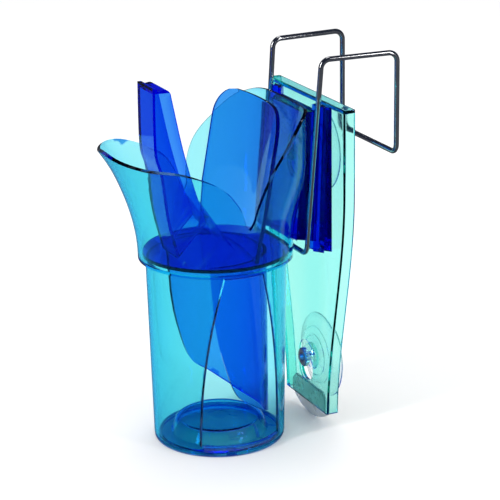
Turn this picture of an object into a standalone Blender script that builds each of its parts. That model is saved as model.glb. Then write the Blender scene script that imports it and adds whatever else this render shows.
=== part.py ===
"""Ice scoop with its guard holder, wall bracket, suction cups and over-the-rim wire hanger.

Frame: +Z up, floor at Z = 0, the plane X = 0 is the plane of symmetry, the pouring lip of the
holder points to -Y and the wall bracket is on the +Y side.  All the sizes below are metres.
"""
import math

import bmesh
import bpy
from mathutils import Matrix, Vector

MM = 0.001
GAP = 0.3 * MM            # clearance between faces that touch
SLIDE = 0.4 * MM          # clearance between faces that slide on each other
RING = 48                 # facets round the large turned shapes

# Holder: cup, collar and flared guard
WALL = 2.2 * MM           # moulded wall of the holder
CUP_BASE_R = 40.0 * MM    # outer radius at the foot
CUP_TOP_R = 42.4 * MM     # outer radius under the collar
COLLAR_Z = 115.5 * MM     # underside of the step where the collar begins
COLLAR_R = 46.8 * MM      # outer radius at the bottom of the collar
STEP_H = 2.0 * MM         # height of the slanted step under the collar
NECK_GROW = 3.4 * MM      # how far the guard widens between collar and saddle
WING_GROW = 6.5 * MM      # how far the wings flare out beyond that
BACK_Y = 42.6 * MM        # flat back face of the guard at the collar
BACK_SLOPE = 0.065        # rearward slope of the flat back
BACK_TOP = 206.5 * MM     # top of the tall back
LIP_REACH = 72.0 * MM     # how far the pouring lip reaches forward
LIP_Z = 188.5 * MM        # height of the pouring lip
SPOUT_POWER = 2.6         # how sharply the spout turns outwards towards the lip
SADDLE_Z = 143.8 * MM     # lowest point of the rim, at each side
FOOT_W = 3.2 * MM         # width of the foot ring
FLOOR_UP = 1.4 * MM       # floor outside the punt, underside above the table
PUNT_R = 27.0 * MM        # raised centre of the floor
PUNT_H = 9.6 * MM         # underside of the raised centre
WINDOW_LOW = 6.5 * MM     # sill of the side window
WINDOW_HALF = 25.4 * MM   # half width of the window at its sill
WINDOW_IN = 28.0 * MM     # the window is cut from here outwards, clear of the raised floor
WINDOW_TOP_HALF = 12.5 * MM

# Holder hooks that slide in the rails
HOOK_WEB_X = 20.0 * MM    # inner face of each web
HOOK_WEB = 2.2 * MM
HOOK_LIP = 5.2 * MM       # how far each lip stands out from its web
HOOK_LIP_T = 2.0 * MM
HOOK_LOW = 123.2 * MM
HOOK_TOP = 202.0 * MM

# Scoop
SCOOP_WALL = 2.2 * MM
DISC_T = 2.3 * MM
DISC_CLEAR = 0.5 * MM     # radial play of the disc in the collar
BOWL_R = 36.3 * MM        # outer radius of the bowl
BOWL_MID = -6.5 * MM      # centre of the bowl's round section
BOWL_TIP_Z = 14.0 * MM
GUARD_HALF = 44.2 * MM    # half width of the hand guard
GUARD_TOP = 208.5 * MM
GUARD_LOW_Y = 13.5 * MM   # middle of the guard at the disc
GUARD_LEAN = 0.19         # rearward slope of the guard
GUARD_SAG = 7.2 * MM      # depth of the guard's curve
GUARD_CORNER = 18.5 * MM
HANDLE_HALF = 11.5 * MM
HANDLE_TOP = 224.0 * MM
HANDLE_FRONT = -42.5 * MM
HANDLE_DEPTH = 11.5 * MM  # at the top

# Wall bracket
PLATE_Y = 60.0 * MM       # front face of the plate
PLATE_T = 2.4 * MM
FLANGE_D = 8.0 * MM       # depth of the tray, front face to rear edge
PLATE_TOP = 207.5 * MM
PLATE_LOW = 9.5 * MM
PLATE_HALF = 49.8 * MM    # half width of the upper part
PLATE_LOW_HALF = 27.8 * MM
WAIST_TOP = 157.0 * MM    # the sides curve in below this height
WAIST_LOW = 4.0 * MM

# Rails on the plate; their faces lean back against the upright plate
RAIL_T = 2.0 * MM
RAIL_FOOT = 6.4 * MM
RAIL_LOW = 118.0 * MM
RAIL_TOP = 206.5 * MM
RAIL_SLOPE = 0.040        # rearward slope of the sliding faces
RAIL_FOOT_Y = 54.4 * MM   # front of the foot at the rail's lower end
RAIL_LIP_Y = 50.0 * MM    # front of the lip at the rail's lower end

# Wire hanger
WIRE_R = 1.6 * MM
WIRE_BEND = 5.5 * MM
WIRE_TOP = 234.6 * MM
WIRE_FRONT_HALF = 32.2 * MM
WIRE_BACK_HALF = 34.6 * MM
WIRE_LOW_HALF = 29.9 * MM
WIRE_REACH = 48.6 * MM    # front legs to rear legs
WIRE_BACK_DROP = 61.4 * MM
WIRE_LEAN = 9.1 * MM      # the front legs lean back by this much
WIRE_LOW_Z = 116.8 * MM
WIRE_BEHIND = 3.4 * MM    # low bar behind the flat back, centre to face

# Suction cups and their fixings
CUP_Z = {"lower": 38.8 * MM, "upper": 172.7 * MM}
STUD_R = 2.4 * MM
STUD_SLOT = 0.5 * MM      # play between stud and keyhole
NUT_R = 6.0 * MM
NUT_T = 3.4 * MM
NUT_TEETH = 20
STUD_PROUD = 1.6 * MM
PAD_R = 9.2 * MM          # recess round the keyhole
PAD_DEEP = 0.8 * MM
KEY_R = 7.8 * MM          # entry hole of the keyhole
KEY_DROP = 7.6 * MM       # from the seat of the stud down to the entry hole
DISH_R = 26.5 * MM
DISH_RIM_Y = 72.0 * MM
DISH_FLAT = 2.2 * MM      # flat ring at the rim that meets the wall
HUB_R = 8.0 * MM
STUD_IN = 4.0 * MM        # length of stud inside the hub

# Bumper under the plate
BUMPER_HALF = 22.0 * MM
BUMPER_T = 2.0 * MM
BUMPER_TOP = 21.0 * MM

# Places that follow from the sizes above
LEDGE_Z = COLLAR_Z + WALL
DISC_LOW = LEDGE_Z + GAP
DISC_TOP = DISC_LOW + DISC_T
HOOK_WEB_OUT = HOOK_WEB_X + HOOK_WEB
HOOK_LIP_OUT = HOOK_WEB_OUT + HOOK_LIP
RAIL_WALL_X = HOOK_LIP_OUT + SLIDE
HOOK_LIP_Y = RAIL_LIP_Y + RAIL_T + SLIDE
WIRE_LOW_Y = BACK_Y + WIRE_BEHIND
WIRE_FRONT_Y = WIRE_LOW_Y + WIRE_LEAN
# The origin is under the middle of the whole object: halfway from lip to hanger.
ORIGIN_Y = (WIRE_FRONT_Y + WIRE_REACH + WIRE_R - LIP_REACH) / 2

COLOURS = {
    "deep_blue": ((0.02, 0.20, 0.75, 1.0), 0.08, 0.0),
    "aqua": ((0.10, 0.60, 0.75, 1.0), 0.08, 0.0),
    "pale_aqua": ((0.40, 0.85, 0.82, 1.0), 0.10, 0.0),
    "clear_vinyl": ((0.80, 0.92, 0.92, 1.0), 0.25, 0.0),
    "wire": ((0.62, 0.62, 0.64, 1.0), 0.15, 1.0),
    "steel": ((0.50, 0.50, 0.52, 1.0), 0.30, 1.0),
}


def clear_scene():
    """Remove whatever the scene holds."""
    for obj in list(bpy.data.objects):
        bpy.data.objects.remove(obj, do_unlink=True)


def collection(name):
    """Make a collection under the scene."""
    made = bpy.data.collections.new(name)
    bpy.context.scene.collection.children.link(made)
    return made


def material(name):
    """Return the Principled material of a named finish."""
    found = bpy.data.materials.get(name)
    if found:
        return found
    colour, roughness, metallic = COLOURS[name]
    made = bpy.data.materials.new(name)
    made.use_nodes = True
    shader = made.node_tree.nodes["Principled BSDF"]
    shader.inputs["Base Color"].default_value = colour
    shader.inputs["Roughness"].default_value = roughness
    shader.inputs["Metallic"].default_value = metallic
    return made


def add_part(name, mesh, finish, smooth=35.0):
    """Put a mesh in the parts collection as one named, dressed object."""
    obj = bpy.data.objects.new(name, mesh)
    PARTS.objects.link(obj)
    mesh.materials.append(material(finish))
    mesh.shade_smooth()
    mesh.set_sharp_from_angle(angle=math.radians(smooth))
    return obj


def add_cutter(name, mesh):
    """Put a mesh in the cutters collection, drawn as wire and left out of the build."""
    obj = bpy.data.objects.new(name, mesh)
    CUTTERS.objects.link(obj)
    obj.hide_render = True
    obj.display_type = "WIRE"
    return obj


def to_mesh(name, work):
    """Turn a bmesh into a mesh with its faces pointing out."""
    bmesh.ops.recalc_face_normals(work, faces=work.faces)
    mesh = bpy.data.meshes.new(name)
    work.to_mesh(mesh)
    work.free()
    return mesh


def box_mesh(name, low, high):
    """A box between two corners."""
    work = bmesh.new()
    bmesh.ops.create_cube(work, size=1.0)
    low, high = Vector(low), Vector(high)
    for vert in work.verts:
        vert.co = Vector(l + (c + 0.5) * (h - l) for l, c, h in zip(low, vert.co, high))
    return to_mesh(name, work)


def prism_mesh(name, outline, low, high, axis):
    """Extrude a closed outline from low to high along axis.

    The outline's two numbers are (Y, Z) along X, (X, Z) along Y and (X, Y) along Z.
    """
    place = {
        "X": lambda a, b, t: (t, a, b),
        "Y": lambda a, b, t: (a, t, b),
        "Z": lambda a, b, t: (a, b, t),
    }[axis]
    work = bmesh.new()
    face = work.faces.new([work.verts.new(place(a, b, low)) for a, b in outline])
    grown = bmesh.ops.extrude_face_region(work, geom=[face])
    moved = [item for item in grown["geom"] if isinstance(item, bmesh.types.BMVert)]
    bmesh.ops.translate(work, verts=moved, vec=Vector(place(0, 0, high - low)))
    bmesh.ops.triangulate(work, faces=[f for f in work.faces if len(f.verts) > 4])
    return to_mesh(name, work)


def sheet_mesh(name, rows, closed=False):
    """Join rows of points, all of one length, into a sheet of quads."""
    work = bmesh.new()
    grid = [[work.verts.new(point) for point in row] for row in rows]
    count = len(grid[0])
    for low, high in zip(grid, grid[1:]):
        for i in range(count if closed else count - 1):
            j = (i + 1) % count
            work.faces.new((low[i], low[j], high[j], high[i]))
    mesh = bpy.data.meshes.new(name)
    work.to_mesh(mesh)
    work.free()
    return mesh


def boolean(obj, cutter, operation):
    """Cut or join obj with another mesh object."""
    step = obj.modifiers.new(operation.lower() + "_" + cutter.name, "BOOLEAN")
    step.operation = operation
    step.solver = "EXACT"
    step.object = cutter


def solidify(obj, thickness, offset):
    """Give an open surface its wall."""
    step = obj.modifiers.new("wall", "SOLIDIFY")
    step.thickness = thickness
    step.offset = offset
    step.use_even_offset = True
    step.use_quality_normals = True


def turned(name, profile, finish, steps, smooth=35.0):
    """Turn a profile of (radius, height) pairs, listed top to bottom, about Z."""
    work = bmesh.new()
    verts = [work.verts.new((radius, 0, height)) for radius, height in profile]
    for a, b in zip(verts, verts[1:]):
        work.edges.new((a, b))
    mesh = bpy.data.meshes.new(name)
    work.to_mesh(mesh)
    work.free()
    obj = add_part(name, mesh, finish, smooth)
    step = obj.modifiers.new("turn", "SCREW")
    step.steps = steps
    step.render_steps = steps
    step.use_merge_vertices = True
    step.merge_threshold = 0.00005
    step.use_smooth_shade = True
    return obj


def lay_along_y(obj, height):
    """Lay a piece turned about Z along +Y, on the axis X = 0 at a height."""
    obj.matrix_world = Matrix.Translation((0, 0, height)) @ Matrix.Rotation(math.radians(-90), 4, "X")


def smooth_step(value):
    """Blend from 0 to 1 with flat ends."""
    value = min(1.0, max(0.0, value))
    return value * value * (3 - 2 * value)


def curve_through(points, count):
    """Return count + 1 points on a smooth curve through a few (a, b) points."""
    ends = [points[0]] + list(points) + [points[-1]]
    spans = len(points) - 1
    made = []
    for k in range(count + 1):
        place = spans * k / count
        i = min(int(place), spans - 1)
        t = place - i
        p0, p1, p2, p3 = (Vector(ends[i + j]) for j in range(4))
        point = 0.5 * (2 * p1 + (p2 - p0) * t + (2 * p0 - 5 * p1 + 4 * p2 - p3) * t * t
                       + (3 * p1 - p0 - 3 * p2 + p3) * t * t * t)
        made.append((point.x, point.y))
    return made


def arc(centre, radius, start, end, steps):
    """Points on an arc in a plane, angles in degrees."""
    angles = [math.radians(start + (end - start) * k / steps) for k in range(steps + 1)]
    return [(centre[0] + radius * math.cos(a), centre[1] + radius * math.sin(a)) for a in angles]


# ------------------------------------------------------------------ holder

def back_face(height):
    """Where the flat back stands at a height; it leans back above the collar."""
    return BACK_Y + BACK_SLOPE * max(0.0, height - COLLAR_Z)


def guard_radius(angle, height):
    """Outer radius of the guard: 0 degrees is the pouring lip, 180 the flat back."""
    above = max(0.0, height - COLLAR_Z)
    lip_height = min(above / (LIP_Z - COLLAR_Z), 1.05)
    neck = COLLAR_R + NECK_GROW * smooth_step(above / (50 * MM))
    wing = WING_GROW * smooth_step((above - 18 * MM) / (44 * MM)) * smooth_step((angle - 72) / 24)
    spout = (LIP_REACH - COLLAR_R - NECK_GROW) * lip_height ** SPOUT_POWER * smooth_step((76 - angle) / 46)
    radius = neck + wing + spout
    facing = -math.cos(math.radians(angle))
    if facing > 0.2:
        flat = back_face(height) / facing
        radius = (radius ** -22 + flat ** -22) ** (-1 / 22)
    return radius


def ring_points(radius_of, height):
    """One closed ring of points; radius_of takes the angle from the front in degrees."""
    ring = []
    for k in range(RING):
        turn = 360 * k / RING
        radius = radius_of(min(turn, 360 - turn))
        a = math.radians(turn)
        ring.append((radius * math.sin(a), -radius * math.cos(a), height))
    return ring


def lip_point(share, drop, cover):
    """A point of the rim near the lip: drop below the lip, but at least cover above the spout's wall."""
    reach = share * LIP_REACH
    spout = max(0.0, reach - COLLAR_R - NECK_GROW) / (LIP_REACH - COLLAR_R - NECK_GROW)
    wall = COLLAR_Z + (LIP_Z - COLLAR_Z) * spout ** (1 / SPOUT_POWER)
    return -reach, max(LIP_Z - drop, wall + cover)


def rim_outline():
    """Side view of the rim as (Y, Z), from the pouring lip to the tall back."""
    top = back_face(BACK_TOP)
    front = curve_through([(-LIP_REACH - 1 * MM, LIP_Z + 1 * MM), lip_point(0.985, 1.2 * MM, 0.2 * MM),
                           lip_point(0.935, 3.9 * MM, 2.5 * MM), lip_point(0.83, 5.5 * MM, 3.0 * MM),
                           (-0.60 * LIP_REACH, LIP_Z - 7.2 * MM),
                           (-0.38 * LIP_REACH, LIP_Z - 12.5 * MM), (-0.21 * LIP_REACH, LIP_Z - 19.5 * MM),
                           (-6.2 * MM, SADDLE_Z + 13 * MM), (-2.6 * MM, SADDLE_Z + 3 * MM), (0, SADDLE_Z)], 30)
    back = curve_through([(0, SADDLE_Z), (2.4 * MM, SADDLE_Z + 4 * MM), (4.3 * MM, SADDLE_Z + 14 * MM),
                          (8.7 * MM, SADDLE_Z + 26 * MM), (15.2 * MM, SADDLE_Z + 36.2 * MM),
                          (0.51 * top, BACK_TOP - 16.5 * MM), (0.72 * top, BACK_TOP - 6.5 * MM),
                          (0.90 * top, BACK_TOP - 1.5 * MM), (top + 1 * MM, BACK_TOP)], 30)
    return front + back[1:]


def rim_cutter():
    """The space above the rim, as a prism across the holder."""
    above = BACK_TOP + 40 * MM
    outline = [(-LIP_REACH - 20 * MM, above), (-LIP_REACH - 20 * MM, LIP_Z + 1 * MM)]
    outline += rim_outline()
    outline += [(BACK_Y + 30 * MM, BACK_TOP), (BACK_Y + 30 * MM, above)]
    return add_cutter("cut_rim", prism_mesh("cut_rim", outline, -90 * MM, 90 * MM, "X"))


def window_cutter():
    """The arched window in the side of the cup, wide at the sill and narrow at the collar."""
    top = COLLAR_Z - 2.5 * MM
    side = curve_through([(WINDOW_HALF, WINDOW_LOW), (0.94 * WINDOW_HALF, WINDOW_LOW + 0.36 * (top - WINDOW_LOW)),
                          (0.76 * WINDOW_HALF, WINDOW_LOW + 0.70 * (top - WINDOW_LOW)),
                          (WINDOW_TOP_HALF, top)], 14)
    outline = side + [(-y, z) for y, z in reversed(side)]
    return add_cutter("cut_window", prism_mesh("cut_window", outline, WINDOW_IN, 60 * MM, "X"))


def holder_shell():
    """Cup, collar and flared guard in one moulded wall, with the side window cut out."""
    rings = []
    for radius, height in ((0.5 * MM, PUNT_H), (0.55 * PUNT_R, PUNT_H), (PUNT_R - 3.4 * MM, PUNT_H),
                           (PUNT_R - 1.6 * MM, PUNT_H - 0.9 * MM), (PUNT_R + 1.2 * MM, FLOOR_UP + 0.7 * MM),
                           (PUNT_R + 2.4 * MM, FLOOR_UP), (CUP_BASE_R - 1.4 * MM - FOOT_W, FLOOR_UP),
                           (CUP_BASE_R - 1.0 * MM - FOOT_W, 0), (CUP_BASE_R - 1.6 * MM, 0),
                           (CUP_BASE_R - 0.3 * MM, 1.0 * MM)):
        rings.append(ring_points(lambda _, r=radius: r, height))
    cup_top = COLLAR_Z - STEP_H
    for k in range(7):
        share = k / 6
        radius = CUP_BASE_R + (CUP_TOP_R - CUP_BASE_R) * share
        rings.append(ring_points(lambda _, r=radius: r, 3 * MM + (cup_top - 3 * MM) * share))
    rings.append(ring_points(lambda angle: guard_radius(angle, COLLAR_Z), COLLAR_Z))
    levels = 14
    top = BACK_TOP + 6 * MM
    for k in range(1, levels + 1):
        height = COLLAR_Z + (top - COLLAR_Z) * k / levels
        rings.append(ring_points(lambda angle, z=height: guard_radius(angle, z), height))
    mesh = sheet_mesh("holder_shell", rings, closed=True)
    work = bmesh.new()
    work.from_mesh(mesh)
    work.verts.ensure_lookup_table()
    work.faces.new([work.verts[i] for i in range(RING)])
    bmesh.ops.recalc_face_normals(work, faces=work.faces)
    work.to_mesh(mesh)
    work.free()
    obj = add_part("holder_shell", mesh, "aqua")
    solidify(obj, WALL, -1.0)
    boolean(obj, rim_cutter(), "DIFFERENCE")
    boolean(obj, window_cutter(), "DIFFERENCE")
    return obj


def wedge_mesh(name, low_outline, high_outline, low, high):
    """Loft along Z between two outlines in (X, Y) with the same number of points."""
    work = bmesh.new()
    rows = [[work.verts.new((x, y, z)) for x, y in outline]
            for z, outline in ((low, low_outline), (high, high_outline))]
    count = len(rows[0])
    for i in range(count):
        j = (i + 1) % count
        work.faces.new((rows[0][i], rows[0][j], rows[1][j], rows[1][i]))
    ends = [work.faces.new(row) for row in rows]
    bmesh.ops.triangulate(work, faces=ends)
    return to_mesh(name, work)


def lean(height):
    """How far the sliding faces stand back at a height, against the rail's lower end."""
    return RAIL_SLOPE * (height - RAIL_LOW)


def hook_outline(height):
    """Section of the back pad and its two webs with outward lips, as (X, Y)."""
    pad = back_face(height) + GAP
    lip = HOOK_LIP_Y + lean(height)
    half = [(HOOK_WEB_OUT, pad), (HOOK_WEB_OUT, lip), (HOOK_LIP_OUT, lip),
            (HOOK_LIP_OUT, lip + HOOK_LIP_T), (HOOK_WEB_X, lip + HOOK_LIP_T), (HOOK_WEB_X, pad + 1.2 * MM)]
    return half + [(-x, y) for x, y in reversed(half)]


def holder_hooks():
    """Two webs with outward lips on a back pad, which slide down into the rails."""
    mesh = wedge_mesh("holder_hooks", hook_outline(HOOK_LOW), hook_outline(HOOK_TOP), HOOK_LOW, HOOK_TOP)
    return add_part("holder_hooks", mesh, "aqua")


# ------------------------------------------------------------------ scoop

def bowl_cutter():
    """The space in front of and under the bowl's cutting edge, seen from the side."""
    edge = curve_through([(-19.0 * MM, DISC_LOW - 2 * MM), (-17.0 * MM, 0.72 * DISC_LOW),
                          (-12.5 * MM, 0.52 * DISC_LOW), (-4.0 * MM, 0.32 * DISC_LOW),
                          (8.0 * MM, 0.24 * DISC_LOW), (18.0 * MM, BOWL_TIP_Z + 7 * MM),
                          (26.0 * MM, BOWL_TIP_Z + 1.8 * MM), (BOWL_MID + BOWL_R + 1 * MM, BOWL_TIP_Z)], 24)
    outline = [(-80 * MM, DISC_LOW - 2 * MM)] + edge
    outline += [(80 * MM, BOWL_TIP_Z), (80 * MM, -40 * MM), (-80 * MM, -40 * MM)]
    return add_cutter("cut_bowl", prism_mesh("cut_bowl", outline, -60 * MM, 60 * MM, "X"))


def disc_radius(angle):
    """Radius of the disc, which follows the inside of the collar."""
    return guard_radius(angle, COLLAR_Z) - WALL - DISC_CLEAR


def scoop_bowl():
    """The open trough of the scoop with the round disc that closes its upper end."""
    columns = 24
    rows = []
    for height in (BOWL_TIP_Z - 4 * MM, (BOWL_TIP_Z + DISC_LOW) / 2, DISC_LOW + 0.6 * MM):
        angles = [math.radians(114 * (2 * i / columns - 1)) for i in range(columns + 1)]
        rows.append([(BOWL_R * math.sin(a), BOWL_MID + BOWL_R * math.cos(a), height) for a in angles])
    obj = add_part("scoop_bowl", sheet_mesh("scoop_bowl", rows), "deep_blue")
    solidify(obj, SCOOP_WALL, 1.0)
    boolean(obj, bowl_cutter(), "DIFFERENCE")
    disc = [(x, y) for x, y, _ in ring_points(disc_radius, 0)]
    boolean(obj, add_cutter("join_disc", prism_mesh("join_disc", disc, DISC_LOW, DISC_TOP, "Z")), "UNION")
    return obj


def guard_outline():
    """Front view of the hand guard as (X, Z): upright sides and well rounded top corners."""
    low = DISC_TOP + GAP
    waist = GUARD_HALF - 2.6 * MM
    right = [(waist, low), (GUARD_HALF - 0.6 * MM, low + 26 * MM), (GUARD_HALF, GUARD_TOP - 38 * MM)]
    corner = arc((GUARD_HALF - GUARD_CORNER, GUARD_TOP - GUARD_CORNER - 2 * MM), GUARD_CORNER, 4, 76, 8)
    half = right + corner
    return half + [(0, GUARD_TOP)] + [(-x, z) for x, z in reversed(half)]


def scoop_guard():
    """The curved sheet behind the handle that keeps fingers off the ice."""
    low = DISC_TOP + GAP
    columns = 20
    rows = []
    for k in range(9):
        height = low - 2 * MM + (GUARD_TOP + 4 * MM - low) * k / 8
        middle = GUARD_LOW_Y + GUARD_LEAN * (height - low)
        row = []
        for i in range(columns + 1):
            x = 1.12 * GUARD_HALF * (2 * i / columns - 1)
            row.append((x, middle - GUARD_SAG * (x / GUARD_HALF) ** 2, height))
        rows.append(row)
    mesh = sheet_mesh("scoop_guard", rows)
    obj = add_part("scoop_guard", mesh, "deep_blue")
    solidify(obj, SCOOP_WALL, 0.0)
    trim = add_cutter("trim_guard", prism_mesh("trim_guard", guard_outline(), -40 * MM, 80 * MM, "Y"))
    boolean(obj, trim, "INTERSECT")
    return obj


def handle_lines():
    """Side view of the handle: its front line and its rear line, top to bottom, as (Y, Z)."""
    low = DISC_TOP + GAP
    tall = HANDLE_TOP - low
    front = curve_through([(HANDLE_FRONT, HANDLE_TOP), (HANDLE_FRONT, low + 0.64 * tall),
                           (HANDLE_FRONT + 3.2 * MM, low + 0.50 * tall),
                           (HANDLE_FRONT + 7.0 * MM, low + 0.23 * tall), (HANDLE_FRONT + 13.0 * MM, low)], 12)
    back = HANDLE_FRONT + HANDLE_DEPTH
    rear = curve_through([(back + 0.6 * MM, HANDLE_TOP - 8.5 * MM), (back + 6.0 * MM, low + 0.66 * tall),
                          (back + 11.2 * MM, low + 0.46 * tall), (back + 16.6 * MM, low + 0.29 * tall),
                          (back + 22.4 * MM, low + 0.15 * tall), (back + 38.0 * MM, low)], 15)
    return front, rear


def scoop_handle():
    """Upright handle: a channel that is open to the rear, closed on top and splayed at its foot."""
    front, rear = handle_lines()
    back = HANDLE_FRONT + HANDLE_DEPTH
    corner = arc((back - 4.6 * MM, HANDLE_TOP - 5.6 * MM), 4.6 * MM, 84, 0, 4)
    outline = list(reversed(front)) + corner + rear
    obj = add_part("scoop_handle", prism_mesh("scoop_handle", outline, -HANDLE_HALF, HANDLE_HALF, "X"), "deep_blue")
    hollow = [(y + SCOOP_WALL, z) for y, z in front if z < HANDLE_TOP - SCOOP_WALL - 1.6 * MM]
    top = HANDLE_TOP - SCOOP_WALL - 1.2 * MM
    hollow = [(front[0][0] + SCOOP_WALL, top)] + hollow + [(hollow[-1][0], hollow[-1][1] - 20 * MM)]
    hollow += [(60 * MM, hollow[-1][1]), (60 * MM, top - 3.2 * MM)]
    half = HANDLE_HALF - SCOOP_WALL
    boolean(obj, add_cutter("cut_handle", prism_mesh("cut_handle", hollow, -half, half, "X")), "DIFFERENCE")
    return obj


# ------------------------------------------------------------------ bracket

def plate_half_width(height):
    """Half width of the bracket at a height: wide above, curving in to a narrow foot."""
    share = smooth_step((height - WAIST_LOW) / (WAIST_TOP - WAIST_LOW))
    return PLATE_LOW_HALF + (PLATE_HALF - PLATE_LOW_HALF) * share


def plate_outline(inset):
    """Front view of the bracket as (X, Z), inset from its edge."""
    low, high = PLATE_LOW, PLATE_TOP - inset
    heights = [low + (WAIST_TOP - low) * k / 12 for k in range(13)] + [high]
    right = [(plate_half_width(z) - inset, z) for z in heights]
    return right + [(-x, z) for x, z in reversed(right)]


def keyhole_cutter(name, height):
    """Keyhole for a stud: narrow above, with an entry hole for the nut below."""
    slot = STUD_R + STUD_SLOT
    low = height - KEY_DROP
    start = math.degrees(math.acos(slot / KEY_R))
    outline = arc((0, height), slot, 0, 180, 8)
    outline += arc((0, low), KEY_R, 180 - start, 360 + start, 18)
    mesh = prism_mesh(name, outline, PLATE_Y - 20 * MM, PLATE_Y + 20 * MM, "Y")
    return add_cutter(name, mesh)


def pad_cutter(name, height):
    """Shallow recess round a keyhole, in which the nut sits."""
    outline = arc((0, height + 2 * MM), PAD_R, 0, 180, 12)
    outline += arc((0, height - KEY_DROP), PAD_R, 180, 360, 12)
    mesh = prism_mesh(name, outline, PLATE_Y - 20 * MM, PLATE_Y + PAD_DEEP, "Y")
    return add_cutter(name, mesh)


def bracket_plate():
    """Shallow tray with side and top flanges, open at the foot, with two recessed keyholes."""
    obj = add_part("bracket_plate", prism_mesh("bracket_plate", plate_outline(0), PLATE_Y,
                                               PLATE_Y + FLANGE_D, "Y"), "pale_aqua")
    inner = plate_outline(PLATE_T)
    inner = [(x, z if z > PLATE_LOW else z - 5 * MM) for x, z in inner]
    hollow = prism_mesh("cut_tray", inner, PLATE_Y + PLATE_T, PLATE_Y + FLANGE_D + 5 * MM, "Y")
    boolean(obj, add_cutter("cut_tray", hollow), "DIFFERENCE")
    for side, height in CUP_Z.items():
        boolean(obj, pad_cutter("cut_pad_" + side, height), "DIFFERENCE")
        boolean(obj, keyhole_cutter("cut_keyhole_" + side, height), "DIFFERENCE")
    return obj


def rail_outline(side, height):
    """Section of one rail, as (X, Y): foot on the plate, wall, and a lip turned inwards."""
    wall_out = RAIL_WALL_X + RAIL_T
    foot_out = wall_out + RAIL_FOOT
    lip_in = HOOK_WEB_OUT + SLIDE
    face = PLATE_Y - GAP
    front = RAIL_LIP_Y + lean(height)
    foot = RAIL_FOOT_Y + lean(height)
    outline = [(RAIL_WALL_X, face), (RAIL_WALL_X, front + RAIL_T), (lip_in, front + RAIL_T), (lip_in, front),
               (wall_out, front), (wall_out, foot), (foot_out, foot), (foot_out, face)]
    return [(side * x, y) for x, y in outline]


def rail(name, side):
    """One rail, a wedge between the upright plate and the leaning hooks."""
    mesh = wedge_mesh(name, rail_outline(side, RAIL_LOW), rail_outline(side, RAIL_TOP), RAIL_LOW, RAIL_TOP)
    return add_part(name, mesh, "aqua")


def bracket_bumper():
    """Clear tongue behind the foot of the plate, round below, that rests on the table."""
    low_radius = 40 * MM
    half = math.degrees(math.asin(BUMPER_HALF / low_radius))
    outline = arc((0, low_radius), low_radius, 270 - half, 270 + half, 14)
    top = min(BUMPER_TOP, CUP_Z["lower"] - KEY_DROP - HUB_R - 1.5 * MM)
    outline += [(BUMPER_HALF, top - 4 * MM), (BUMPER_HALF - 4 * MM, top),
                (-BUMPER_HALF + 4 * MM, top), (-BUMPER_HALF, top - 4 * MM)]
    face = PLATE_Y + PLATE_T + GAP
    mesh = prism_mesh("bracket_bumper", outline, face, face + BUMPER_T, "Y")
    return add_part("bracket_bumper", mesh, "clear_vinyl")


# ------------------------------------------------------------------ hanger

def bend(before, corner, after, radius, steps):
    """Points on the round bend that replaces a corner of the wire."""
    to_before = (before - corner).normalized()
    to_after = (after - corner).normalized()
    angle = to_before.angle(to_after)
    reach = radius / math.tan(angle / 2)
    middle = corner + (to_before + to_after).normalized() * (radius / math.sin(angle / 2))
    start = corner + to_before * reach - middle
    end = corner + to_after * reach - middle
    sweep = start.angle(end)
    normal = start.cross(end).normalized()
    return [middle + Matrix.Rotation(sweep * k / steps, 3, normal) @ start for k in range(steps + 1)]


def hanger_wire():
    """One closed loop of wire: front legs, two hooks over the rim and a rear bar."""
    back_y = WIRE_FRONT_Y + WIRE_REACH
    right = [Vector((WIRE_LOW_HALF, WIRE_LOW_Y, WIRE_LOW_Z)), Vector((WIRE_FRONT_HALF, WIRE_FRONT_Y, WIRE_TOP)),
             Vector((WIRE_BACK_HALF, back_y, WIRE_TOP)),
             Vector((WIRE_BACK_HALF, back_y, WIRE_TOP - WIRE_BACK_DROP))]
    left = [Vector((-p.x, p.y, p.z)) for p in reversed(right)]
    corners = right + left
    points = []
    for i, corner in enumerate(corners):
        points += bend(corners[i - 1], corner, corners[(i + 1) % len(corners)], WIRE_BEND, 5)
    data = bpy.data.curves.new("hanger_wire", "CURVE")
    data.dimensions = "3D"
    data.bevel_depth = WIRE_R
    data.bevel_resolution = 2
    spline = data.splines.new("POLY")
    spline.points.add(len(points) - 1)
    for slot, point in zip(spline.points, points):
        slot.co = (*point, 1)
    spline.use_cyclic_u = True
    obj = bpy.data.objects.new("hanger_wire", data)
    PARTS.objects.link(obj)
    data.materials.append(material("wire"))
    return obj


# ------------------------------------------------------------------ suction cups

def suction_cup(side, height):
    """Clear cup: hub against the plate, thin dish that flares to the wall."""
    face = PLATE_Y + PLATE_T + GAP
    rim = DISH_RIM_Y
    bore = STUD_R + GAP
    outer = [(DISH_R, rim), (DISH_R - 0.2 * MM, rim - 0.8 * MM), (0.70 * DISH_R, rim - 3.2 * MM),
             (0.49 * DISH_R, rim - 4.4 * MM), (HUB_R, face + 1.2 * MM), (HUB_R - 0.8 * MM, face)]
    bore_end = [(bore, face), (bore, face + STUD_IN + GAP), (0, face + STUD_IN + GAP)]
    under = [(0, rim - 2.4 * MM), (0.5 * DISH_R, rim - 2.0 * MM), (0.78 * DISH_R, rim - 1.0 * MM),
             (DISH_R - DISH_FLAT, rim), (DISH_R, rim)]
    section = outer + bore_end + under
    obj = turned(side + "_suction_cup", section, "clear_vinyl", 40)
    lay_along_y(obj, height)
    return obj


def cup_stud(side, height):
    """Threaded stud moulded into the hub, with its end proud of the nut."""
    low = PLATE_Y + PAD_DEEP - GAP - NUT_T - STUD_PROUD
    high = PLATE_Y + PLATE_T + GAP + STUD_IN
    chamfer = 0.5 * MM
    profile = [(0, high), (STUD_R, high), (STUD_R, low + chamfer), (STUD_R - chamfer, low), (0, low)]
    obj = turned(side + "_cup_stud", profile, "steel", 20)
    lay_along_y(obj, height)
    return obj


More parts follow.
